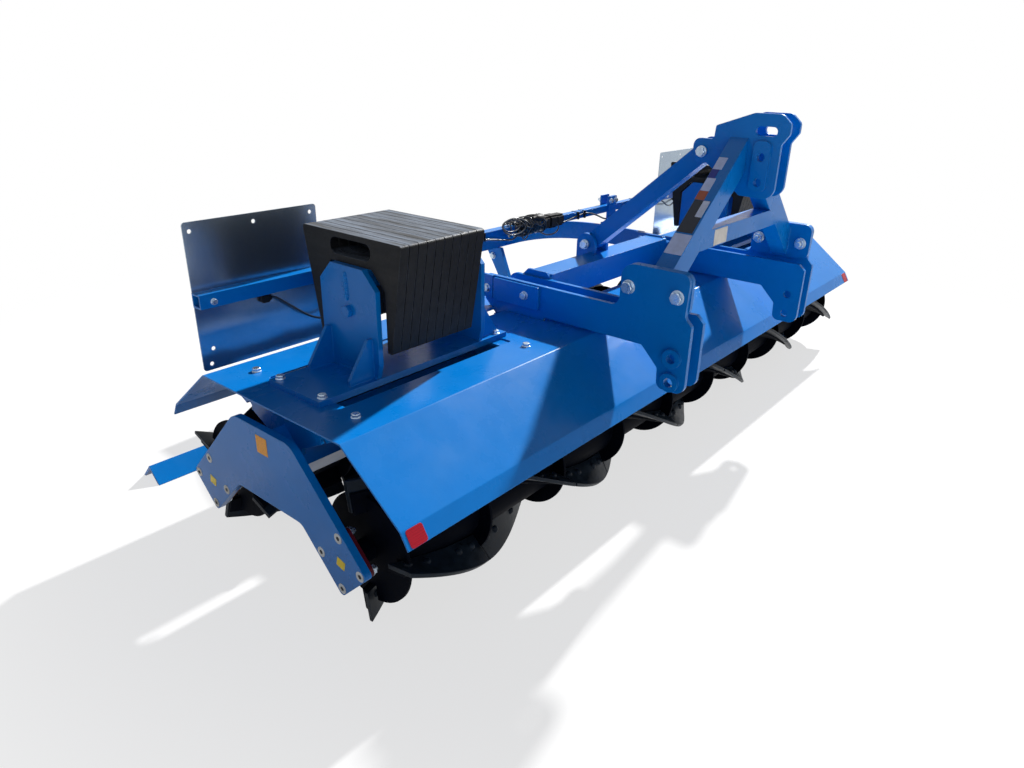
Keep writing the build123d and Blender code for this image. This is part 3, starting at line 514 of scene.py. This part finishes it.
# Faces of the part that the trim stands on
HOOD_TOP, BASE_TOP = 512.6, 527.6
END_FACE = 1522
BEARING_FACE = 1490
ARM_OUTSIDE, ARM_INSIDE, ARM_PLATE_BACK = 500, 408, 485
SPLICE_FACE, MAST_FOOT_FACE = 512, 470
DRAG_ARM_FACE = 430
BOARD_FRONT, BOARD_BACK = 391, 394
CLAMP_FRONT, CLAMP_BACK = 344, 394
SLEEVE_FRONT = 351
# Where the bolts sit. Hood and base: X, Y. Mast feet and splices: Y, Z. Stay: Y, Z, half width.
HOOD_BOLTS = ((1387, 212), (1387, -212), (731, 209), (731, -209))
BASE_BOLTS = ((1392, 90), (1392, -90), (738, 90), (738, -90))
MAST_FOOT_BOLTS = ((-413, 691), (-576.5, 691))
SPLICE_BOLTS = ((-22, 585), (146, 579))
STAY_PINS = ((55, 672, 56), (-379, 1048, 53))
FLANGE_HOLES = ((73, 0), (-73, 0), (0, 73), (0, -73))
DRAG_ARM_BOLT = (942, 392)
# The left board is drawn out further than the right one
LEFT_DRAWN_OUT = 57
CLAMP_X, LEFT_CLAMP_FURTHER = 543, 43
CLAMP_BOLTS_DX, CLAMP_BOLTS_Z = (-19, 19), 726
SLEEVE_BOLTS_X, SLEEVE_BOLTS_Z = (-1407, -1053, 1464, 1110), 686
SUPPORT_INNER, SUPPORT_OUTER = 813, 1224
# Y, Z of the support's bolt and of the two ends of the bead above it
SUPPORT_BOLT, SUPPORT_BEAD = (1, 694), ((3, 722), (7, 800))


def add_bolts():
    """Bolts of the hoods, arms, mast, boards and bearings."""
    bolts = bmesh.new()

    def bolt(x, y, z, axis, size, stud=0.0):
        hex_head(bolts, place(x, y, z), axis, size, random.random(), stud=stud)

    for side in (-1, 1):
        outwards, inwards = (side, 0, 0), (-side, 0, 0)
        for holes, top in ((HOOD_BOLTS, HOOD_TOP), (BASE_BOLTS, BASE_TOP)):
            for x, y in holes:
                bolt(side * x, y, top, (0, 0, 1), 12.5)
        for y, z in MAST_FOOT_BOLTS:
            bolt(side * ARM_OUTSIDE, y, z, outwards, 21)
            bolt(side * MAST_FOOT_FACE, y, z, inwards, 21, stud=9)
        for y, z in SPLICE_BOLTS:
            bolt(side * SPLICE_FACE, y, z, outwards, 14.5)
            bolt(side * ARM_PLATE_BACK, y, z, inwards, 14.5, stud=8)
        for y, z, half in STAY_PINS:
            bolt(side * (half - 1), y, z, outwards, 17.5, stud=6 if side > 0 else 0)
        for y in (-AXLE_Y, AXLE_Y):
            for dy, dz in FLANGE_HOLES:
                bolt(side * BEARING_FACE, y + dy, AXLE_Z + dz, inwards, 14, stud=6)
        clamp_x = CLAMP_X + (LEFT_CLAMP_FURTHER if side > 0 else 0)
        for dx in CLAMP_BOLTS_DX:
            bolt(side * clamp_x + dx, CLAMP_FRONT, CLAMP_BOLTS_Z, (0, -1, 0), 12)
            bolt(side * clamp_x + dx, CLAMP_BACK, CLAMP_BOLTS_Z, (0, 1, 0), 12, stud=8)
        bolt(side * DRAG_ARM_FACE, *DRAG_ARM_BOLT, inwards, 16)
    for x in SLEEVE_BOLTS_X:
        hex_head(bolts, place(x, SLEEVE_FRONT, SLEEVE_BOLTS_Z), (0, -1, 0), 9.5, 0.3)
        hex_head(bolts, place(x, BOARD_BACK, SLEEVE_BOLTS_Z), (0, 1, 0), 9.5, 0.3, stud=4)
    to_object(bolts, "bolts", ZINC, "frame", 22)


def add_support_bolts():
    """Painted bolts in the weight supports, each with a bead above it."""
    painted = bmesh.new()
    for x, way in ((-SUPPORT_OUTER, -1), (-SUPPORT_INNER, 1),
                   (SUPPORT_INNER, -1), (SUPPORT_OUTER, 1)):
        hex_head(painted, place(x, *SUPPORT_BOLT), (way, 0, 0), 19, 0.3, washer=False)
        low, high = SUPPORT_BEAD
        weld(painted, (x, *low), (x, *high), 9, (way, 0, 0))
    to_object(painted, "support_bolts", BLUE, "frame", 40)


def add_end_caps():
    """Countersunk bolts of the bearings in the end plates' outer faces."""
    # Radius, height
    cap = ((14.0, 0), (14.0, 0.6), (12.6, 1.2), (6.4, 1.2), (6.2, 0.5))
    # The core is a near-black hexagon in the cap's dish: painted shade for the bolt's socket.
    core = ((6.2, 0.4), (6.2, 0.8), (5.6, 0.9))
    for side, hand in ((-1, "right"), (1, "left")):
        for y, colour, end, material in ((AXLE_Y, "cream", "rear", CREAM),
                                         (-AXLE_Y, "grey", "front", GREY_CAP)):
            name = f"{colour}_caps_{hand}_{end}"
            caps, cores = bmesh.new(), bmesh.new()
            for dy, dz in FLANGE_HOLES:
                where = standing(place(side * END_FACE, y + dy, AXLE_Z + dz), (side, 0, 0))
                rings(caps, cap, 28, where)
                rings(cores, core, 12, where, 0.2, (6, 6, 6))
            to_object(caps, name, material, "frame", 40)
            to_object(cores, name + "_cores", SOCKET_SHADE, "frame", 40)


# The knives: four rows on each drum, each of nine blades that turn with the row's helix
KNIFE_LEAD = 2196.0
KNIFE_START_ANGLE = 51
KNIFE_STARTS = 4
KNIFE_END = 1471.0
KNIFE_FACE_GAP = 8.0
SEGMENTS = 9
PITCH = 2 * KNIFE_END / SEGMENTS
# Corners of a section: reach from the axle, lift from the blade's middle plane
BLADE = ((112, -6), (193.2, -6), (194.8, -4.4), (194.8, 4.4), (193.2, 6), (112, 6))
STRIP = ((106, 6.2), (106, 14), (160, 14), (163, 11), (163, 6.2))
STRIP_MARGIN = 2
KNIFE_BOLTS_FROM_END = (38, 98)
KNIFE_BOLT_REACH, KNIFE_BOLT_SINK, KNIFE_BOLT_RADIUS = 137, 5.6, 11


def knife_axes(x, start, hand):
    """Unit vectors along a blade's section and square to it."""
    angle = math.radians(KNIFE_START_ANGLE + 360 / KNIFE_STARTS * start
                         + hand * 360 * x / KNIFE_LEAD)
    radial = Vector((0, math.cos(angle), math.sin(angle)))
    return radial, Vector((0, -math.sin(angle), math.cos(angle))) * hand


def twisted(mesh, x0, length, y, start, hand, section, steps=14):
    """A strip along a drum whose section turns with the knives' helix."""
    loops = []
    for k in range(steps + 1):
        x = x0 + length * k / steps
        radial, normal = knife_axes(x, start, hand)
        middle = place(x, y, AXLE_Z)
        loops.append([mesh.verts.new(middle + (radial * reach + normal * lift) / 1000)
                      for reach, lift in section])
    solid(mesh, loops)


def add_knives(body, y, hand):
    """The twisted blades of a roller, the strips behind them and their bolts."""
    blades, strips, heads = bmesh.new(), bmesh.new(), bmesh.new()
    length = PITCH - KNIFE_FACE_GAP
    near, far = KNIFE_BOLTS_FROM_END
    for i in range(SEGMENTS):
        x0 = -KNIFE_END + i * PITCH + KNIFE_FACE_GAP / 2
        for start in range(KNIFE_STARTS):
            twisted(blades, x0, length, y, start, hand, BLADE)
            twisted(strips, x0 + STRIP_MARGIN, length - 2 * STRIP_MARGIN, y, start, hand, STRIP)
            for along in (near, far, length - far, length - near):
                radial, normal = knife_axes(x0 + along, start, hand)
                seat = radial * KNIFE_BOLT_REACH - normal * KNIFE_BOLT_SINK
                at = place(x0 + along, y, AXLE_Z) + seat / 1000
                dome_head(heads, at, -normal, KNIFE_BOLT_RADIUS)
    outward(blades)
    outward(strips)
    side = body.split("_")[0]
    drawn = to_object(blades, "knife_blades_" + side, KNIFE, body, 40)
    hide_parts("knives_" + side)
    to_object(strips, "knife_strips_" + side, DRUM, body, 40)
    to_object(heads, "knife_bolts_" + side, KNIFE, body, 40)


# Reflectors: the red ones lie on the hood's steep front edge, the orange ones on the end plates
RED_X = (-1489, 1439)
RED_Y, RED_Z = -509.6, 326.3
HOOD_EDGE_SLOPE = (0, 24.0, 39.6)
RED_WIDTH, RED_HEIGHT = 50, 44
ORANGE_Z = 387
ORANGE_WIDTH, ORANGE_HEIGHT = 47, 50
YELLOW_WIDTH, YELLOW_HEIGHT = 30, 26


def add_reflectors():
    red, orange, yellow = bmesh.new(), bmesh.new(), bmesh.new()
    for x in RED_X:
        slab(red, place(x, RED_Y, RED_Z), (1, 0, 0), HOOD_EDGE_SLOPE, RED_WIDTH, RED_HEIGHT, 1.0, 7)
    for side in (-1, 1):
        face = side * END_FACE
        slab(orange, place(face, -25 if side > 0 else 22, ORANGE_Z), (0, side, 0), (0, 0, 1),
             ORANGE_WIDTH, ORANGE_HEIGHT, 0.8, 2)
        for y in (-AXLE_Y, AXLE_Y):
            corner = place(face, y - 15 * side, AXLE_Z - 10 - 3 * side)
            slab(yellow, corner, (0, side, 0.25 * side), (0, -0.25, 1),
                 YELLOW_WIDTH, YELLOW_HEIGHT, 0.5, 1)
    to_object(outward(red), "red_reflectors", RED_FILM, "frame")
    to_object(outward(orange), "orange_reflectors", ORANGE_FILM, "frame")
    to_object(outward(yellow), "yellow_labels", YELLOW, "frame")


# Blank blocks of colour where the near mast leg carries its labels
LEG_SLOPE = math.radians(39.8)
LEG_TOP = (-45, -501, 1099.0)
# Name, material, then measured from the leg's top and middle: from, to, rear edge, front edge, lift
LABELS = (("label_upper", LILAC, 88, 139, -29, 1, 0.0),
          ("label_navy", NAVY, 139, 176, -29, -5, 0.0),
          ("label_middle", LILAC, 176, 229, -29, 1, 0.0),
          ("label_brown", BROWN, 230, 266, -30, 1, 0.0),
          ("label_black", BLACK_LABEL, 267, 397, -28, 24, 0.0),
          ("label_white", WHITE_LABEL, 268, 333, 2, 24, 0.5),
          ("label_large", LILAC, 403, 481, -29, 29, 0.0))
PLATE_CORNER, PLATE_WIDTH, PLATE_HEIGHT = (-205, -531, 786), 92, 50


def add_labels():
    down = Vector((-math.cos(LEG_SLOPE), 0, -math.sin(LEG_SLOPE)))
    up = Vector((-math.sin(LEG_SLOPE), 0, math.cos(LEG_SLOPE)))
    for name, material, start, end, rear, front, lift in LABELS:
        label = bmesh.new()
        corner = place(*LEG_TOP) + down * start / 1000 - Vector((0, rear / 1000, 0))
        corner += up * lift / 1000
        slab(label, corner, down, (0, -1, 0), end - start, front - rear, 0.5, 1.5)
        to_object(outward(label), name, material, "frame")
    plate = bmesh.new()
    slab(plate, place(*PLATE_CORNER), (1, 0, 0), (0, 0, 1), PLATE_WIDTH, PLATE_HEIGHT, 0.8, 2)
    to_object(outward(plate), "blank_plate", SILVER_PLATE, "frame")


# Rear lamps on the boards: side, middle
LAMPS = ((1, 1232 + LEFT_DRAWN_OUT), (-1, -1232))
LAMP_Z = 640
LAMP_FACE = BOARD_BACK + 46
LENS_HALF_HEIGHT, LENS_THICK, LENS_RADIUS = 44, 9, 9
RIB_COUNT, RIB_PITCH, RIB_HEIGHT, RIB_MARGIN = 9, 8.6, 5, 6
# Name, material, place along the lamp outwards, width
LENSES = (("amber", LENS_AMBER, -75, 66), ("red", LENS_RED, 2, 80), ("clear", LENS_CLEAR, 76, 60))


def add_lenses():
    """Three ribbed lenses on each lamp's dark housing."""
    for side, middle in LAMPS:
        for name, material, offset, width in LENSES:
            lens = bmesh.new()
            edge = middle + side * offset + width / 2
            slab(lens, place(edge, LAMP_FACE, LAMP_Z - LENS_HALF_HEIGHT), (-1, 0, 0), (0, 0, 1),
                 width, 2 * LENS_HALF_HEIGHT, LENS_THICK, LENS_RADIUS)
            for k in range(RIB_COUNT):
                rib_z = LAMP_Z - LENS_HALF_HEIGHT + RIB_MARGIN + RIB_PITCH * k
                slab(lens, place(edge - RIB_MARGIN, LAMP_FACE + LENS_THICK - 0.5, rib_z),
                     (-1, 0, 0), (0, 0, 1), width - 2 * RIB_MARGIN, RIB_HEIGHT, 1.6, 1.5, 2)
            hand = "left" if side > 0 else "right"
            to_object(outward(lens), f"lens_{name}_{hand}", material, "frame", 40)


# The lamps' leads, along the light bar to its middle: their diameter and the points they pass,
# each in order of X
LEAD = 7.0
LEAD_RIGHT = ((-1222, 379, 650), (-1200, 376, 647), (-1154, 372, 612), (-1093, 364, 566),
              (-1042, 356, 552), (-985, 350, 572), (-930, 349, 632), (-880, 351.5, 676),
              (-800, 352, 682), (-650, 352, 680), (-450, 352, 683), (-298, 352, 680),
              (-220, 351, 668), (-170, 349, 660), (-133, 347, 658), (-106, 345, 672),
              (-94, 346, 692))
LEAD_LEFT = ((170, 350, 681), (225, 351.5, 678), (321, 352, 690), (370, 352, 694),
             (414, 352, 688), (458, 349, 676), (520, 340, 652), (580, 336, 648),
             (640, 340, 662), (710, 349, 678), (800, 352, 682), (950, 352, 680),
             (1060, 350, 668), (1120, 352, 640), (1190, 366, 628), (1250, 376, 642),
             (1279, 379, 650))
SOCKET_Y, SOCKET_Z = 379, 650
SOCKET_HALF = 13
TIES_X = (-800, -650, -450, -298, 321, 370, 800, 950)
# Y, Z of a tie's two corners
TIE_LOW, TIE_HIGH = (346, 674), (388, 706.5)


def add_leads():
    sockets = bmesh.new()
    for side, x in LAMPS[::-1]:
        box(sockets, (x - SOCKET_HALF, SOCKET_Y - 6, SOCKET_Z - 12),
            (x + SOCKET_HALF, BOARD_FRONT, SOCKET_Z + 12), 3)
        rings(sockets, ((7.5, 0), (7.5, 5), (5, 8)), 14,
              standing(place(x - side * (SOCKET_HALF - 1), SOCKET_Y, SOCKET_Z), (-side, 0, 0)))
    to_object(sockets, "lamp_sockets", RUBBER, "frame", 40)
    for name, points in (("lead_right", LEAD_RIGHT), ("lead_left", LEAD_LEFT[::-1])):
        mesh = bmesh.new()
        path = curve_through(points)
        tube(mesh, path, LEAD)
        lead = to_object(outward(mesh), name, LEAD_RUBBER, "frame", 60)


# The spare length, wound round the bar's middle and taped there
BAR_Y, BAR_Z, BAR_HALF = 371, 690, 15
STRAND, THIN_STRAND = 6, 5
# Rings that hang in front: X, Z, half width, half height, Y
SPARE_RINGS = ((-131, 709, 70, 30, 341), (-146, 713, 52, 21, 345))
# Strands wound round the bar: from X, to X, turns, reach, first angle, slant along the bar
WOUND = ((-150, -84, 2.2, 27, 0.0, 16), (-100, 10, 3.4, 31, 0.9, -20), (-40, 80, 4.3, 29, 2.1, 14),
         (-70, 60, 2.4, 35, 3.3, -30), (20, 90, 3.2, 32, 5.0, 22))
# Strands laid along the bar: from X, to X, angle, reach
LAID = ((-150, 75, 1.0, 29), (-135, 80, 1.7, 31), (-120, 60, 2.5, 30), (-100, 75, 3.2, 27),
        (-90, 70, 4.0, 28), (-140, 40, 1.35, 35), (-60, 80, 2.9, 34))
LOOP_BELOW = ((-30, 346, 700), (-2, 344, 683), (43, 341, 659), (88, 340, 643), (141, 341, 644),
              (167, 344, 661), (154, 347, 684), (128, 349, 700))
SMALL_LOOP = ((-70, 345, 672), (-76, 343, 655), (-60, 342, 648), (-40, 344, 662), (-34, 347, 676))
# Turns of tape: from X, to X, thickness
TAPE = ((-104, -46, 7.5), (-40, 26, 9.0), (72, 118, 10.0), (112, 168, 11.5), (160, 216, 9.5))
# The plug: radius, height
PLUG = ((13, 0), (15, 3), (15, 46), (12, 52), (8, 60), (6, 72))
PLUG_AT, PLUG_AXIS = (62, 352, 716), (-1, -0.1, 0.12)


def add_spare_lead():
    spare = bmesh.new()
    for x, z, wide, high, y in SPARE_RINGS:
        ring = [(x + wide * math.cos(a), y + 9 * math.sin(a), z + high * math.sin(a))
                for a in [2 * math.pi * k / 20 - 0.6 for k in range(21)]]
        tube(spare, curve_through(ring, 4), STRAND)
    for x0, x1, turns, reach, offset, slant in WOUND:
        count = int(turns * 12)
        wound = []
        for k in range(count + 1):
            angle = offset + 2 * math.pi * turns * k / count
            far = reach * (1 + 0.14 * (random.random() - 0.5)) + 6 * max(0.0, math.sin(angle))
            jitter = 7 * (random.random() - 0.5)
            wound.append((x0 + (x1 - x0) * k / count + slant * math.cos(angle) + jitter,
                          BAR_Y + far * math.cos(angle), BAR_Z + far * math.sin(angle)))
        tube(spare, curve_through(wound, 3), STRAND)
    for x0, x1, angle, reach in LAID:
        laid = []
        for k in range(9):
            turn = angle + 0.5 * (random.random() - 0.5)
            far = reach + 5 * (random.random() - 0.5)
            laid.append((x0 + (x1 - x0) * k / 8,
                         BAR_Y + far * math.cos(turn), BAR_Z + far * math.sin(turn)))
        tube(spare, curve_through(laid, 4), STRAND)
    tube(spare, curve_through(LOOP_BELOW), STRAND)
    tube(spare, curve_through(SMALL_LOOP), THIN_STRAND)
    to_object(outward(spare), "spare_lead", LEAD_RUBBER, "frame", 60)


def add_tape_and_ties():
    """The tape and the plug at the bar's middle, and the ties that hold the leads to the bar."""
    wrap = bmesh.new()
    for x0, x1, thick in TAPE:
        half = BAR_HALF + thick
        box(wrap, (x0, BAR_Y - half, BAR_Z - half), (x1, BAR_Y + half, BAR_Z + half), 8)
    rings(wrap, PLUG, 18, standing(place(*PLUG_AT), PLUG_AXIS))
    to_object(wrap, "lead_wrap", RUBBER, "frame", 40)
    ties = bmesh.new()
    for x in TIES_X:
        box(ties, (x - 3, *TIE_LOW), (x + 3, *TIE_HIGH), 1)
    to_object(ties, "cable_ties", RUBBER, "frame", 40)


# Heights of the beads and faces of the ears on the cross tube
WELD_Z = BASE_TOP + 1
ARM_FOOT_BOTTOM = 492
CROSS_TUBE_TOP = 640
EAR_INSIDE, EAR_OUTSIDE = 33, 48


def add_weld_beads():
    beads = bmesh.new()
    for side in (-1, 1):
        # Supports and gussets on the weight bases
        for x, way in ((SUPPORT_INNER, -1), (SUPPORT_OUTER, 1)):
            for a, b in ((-102, -82), (-78, 78), (82, 102)):
                weld(beads, (side * x, a, WELD_Z), (side * x, b, WELD_Z), 4.5, (side * way, 0, 1))
            for y, out in ((-90, -1), (-80, 1), (80, -1), (90, 1)):
                weld(beads, (side * (x + way * 6), y, WELD_Z), (side * (x + way * 76), y, WELD_Z),
                     3.5, (0, out, 1))
                weld(beads, (side * x, y, WELD_Z + 5), (side * x, y, WELD_Z + 105),
                     3.5, (side * way, out, 0))
        # The mast's legs on their foot plates, and the arms' feet on the saddles
        for y, out in ((-471, 1), (-531, -1)):
            x = side * MAST_FOOT_FACE
            weld(beads, (x, y, 652), (x, y, 748), 4.5, (-side, out, 0))
        for x, way in ((ARM_INSIDE, -1), (ARM_OUTSIDE, 1)):
            weld(beads, (side * x, -80, ARM_FOOT_BOTTOM), (side * x, 110, ARM_FOOT_BOTTOM),
                 4.5, (side * way, 0, 1))
        # The stay's ears on the cross tube
        for x, rear, way in ((EAR_INSIDE, 92, -side), (EAR_OUTSIDE, 44, side)):
            weld(beads, (side * x, 18, CROSS_TUBE_TOP), (side * x, rear, CROSS_TUBE_TOP),
                 4, (way, 0, 1))
    to_object(beads, "weld_beads", BLUE, "frame", 60)


add_bolts()
add_support_bolts()
add_end_caps()
add_knives("front_roller", -AXLE_Y, 1)
add_knives("rear_roller", AXLE_Y, -1)
add_reflectors()
add_labels()
add_lenses()
add_leads()
add_spare_lead()
add_tape_and_ties()
add_weld_beads()


# The stage
def join(tree, kind, operation, a, b=None):
    """A node of the given kind and operation over one or two outputs."""
    node = tree.nodes.new(kind)
    node.operation = operation
    tree.links.new(a, node.inputs[0])
    if b is not None:
        tree.links.new(b, node.inputs[1])
    return node.outputs["Value"]


def seen_rays(tree):
    """1 for rays that show the surroundings themselves: to the camera, mirrored or let through."""
    path = tree.nodes.new("ShaderNodeLightPath")
    seen = join(tree, "ShaderNodeMath", "MAXIMUM", path.outputs["Is Camera Ray"],
                path.outputs["Is Glossy Ray"])
    return join(tree, "ShaderNodeMath", "MAXIMUM", seen, path.outputs["Is Transmission Ray"])


# The floor keeps the object's shadow within the near radius and is plain white past the far one
SHADOW_NEAR, SHADOW_FAR = 1.6, 3.2
WHITE_NEAR, WHITE_FAR = 0.70, 1.0
FLOOR_SIZE = 60
FLOOR_DROP = 0.0005


def add_stage():
    mesh = bmesh.new()
    bmesh.ops.create_grid(mesh, x_segments=1, y_segments=1, size=FLOOR_SIZE)
    data = bpy.data.meshes.new("floor")
    mesh.to_mesh(data)
    mesh.free()
    floor = bpy.data.objects.new("floor", data)
    scene.collection.objects.link(floor)
    floor.location = (0, 0, -FLOOR_DROP)
    material = bpy.data.materials.new("pale_floor")
    material.use_nodes = True
    tree = material.node_tree
    shader = tree.nodes["Principled BSDF"]
    shader.inputs["Base Color"].default_value = rgb(0.80, 0.80, 0.80)
    shader.inputs["Roughness"].default_value = 0.9
    shader.inputs["Specular IOR Level"].default_value = 0.1
    glow = tree.nodes.new("ShaderNodeEmission")
    glow.inputs["Color"].default_value = rgb(1, 1, 1)
    spot = tree.nodes.new("ShaderNodeNewGeometry").outputs["Position"]
    white = tree.nodes.new("ShaderNodeMapRange")
    white.interpolation_type = "SMOOTHSTEP"
    for socket, value in (("From Min", SHADOW_NEAR), ("From Max", SHADOW_FAR),
                          ("To Min", WHITE_NEAR), ("To Max", WHITE_FAR)):
        white.inputs[socket].default_value = value
    tree.links.new(join(tree, "ShaderNodeVectorMath", "LENGTH", spot), white.inputs["Value"])
    share = join(tree, "ShaderNodeMath", "MULTIPLY", seen_rays(tree), white.outputs["Result"])
    mix = tree.nodes.new("ShaderNodeMixShader")
    tree.links.new(share, mix.inputs["Fac"])
    tree.links.new(shader.outputs["BSDF"], mix.inputs[1])
    tree.links.new(glow.outputs["Emission"], mix.inputs[2])
    tree.links.new(mix.outputs["Shader"], tree.nodes["Material Output"].inputs["Surface"])
    data.materials.append(material)


def add_world():
    """A faint cool sky as light, white where it is seen."""
    world = bpy.data.worlds.new("studio")
    scene.world = world
    world.use_nodes = True
    tree = world.node_tree
    background = tree.nodes["Background"]
    background.inputs["Color"].default_value = rgb(0.76, 0.82, 1.0)
    background.inputs["Strength"].default_value = 0.18
    white = tree.nodes.new("ShaderNodeBackground")
    white.inputs["Color"].default_value = rgb(1, 1, 1)
    white.inputs["Strength"].default_value = 1.0
    mix = tree.nodes.new("ShaderNodeMixShader")
    tree.links.new(seen_rays(tree), mix.inputs["Fac"])
    tree.links.new(background.outputs["Background"], mix.inputs[1])
    tree.links.new(white.outputs["Background"], mix.inputs[2])
    tree.links.new(mix.outputs["Shader"], tree.nodes["World Output"].inputs["Surface"])


def add_light(name, at, aim, size, power, color):
    data = bpy.data.lights.new(name, "AREA")
    data.shape = "DISK"
    data.size = size
    data.energy = power
    data.color = color
    light = bpy.data.objects.new(name, data)
    scene.collection.objects.link(light)
    light.location = at
    light.rotation_euler = (Vector(aim) - Vector(at)).to_track_quat("-Z", "Y").to_euler()


AIM = (0, 0, 0.4)
# Name, place, size, power, colour
LIGHTS = (("key", (20.6, 2.4, 14.4), 0.7, 15600, (1.0, 0.99, 0.97)),
          ("front_fill", (-3.4, -4.6, 2.6), 3.0, 22, (0.84, 0.90, 1.0)))
add_stage()
add_world()
for name, at, size, power, color in LIGHTS:
    add_light(name, at, AIM, size, power, color)

scene.view_settings.view_transform = "Standard"
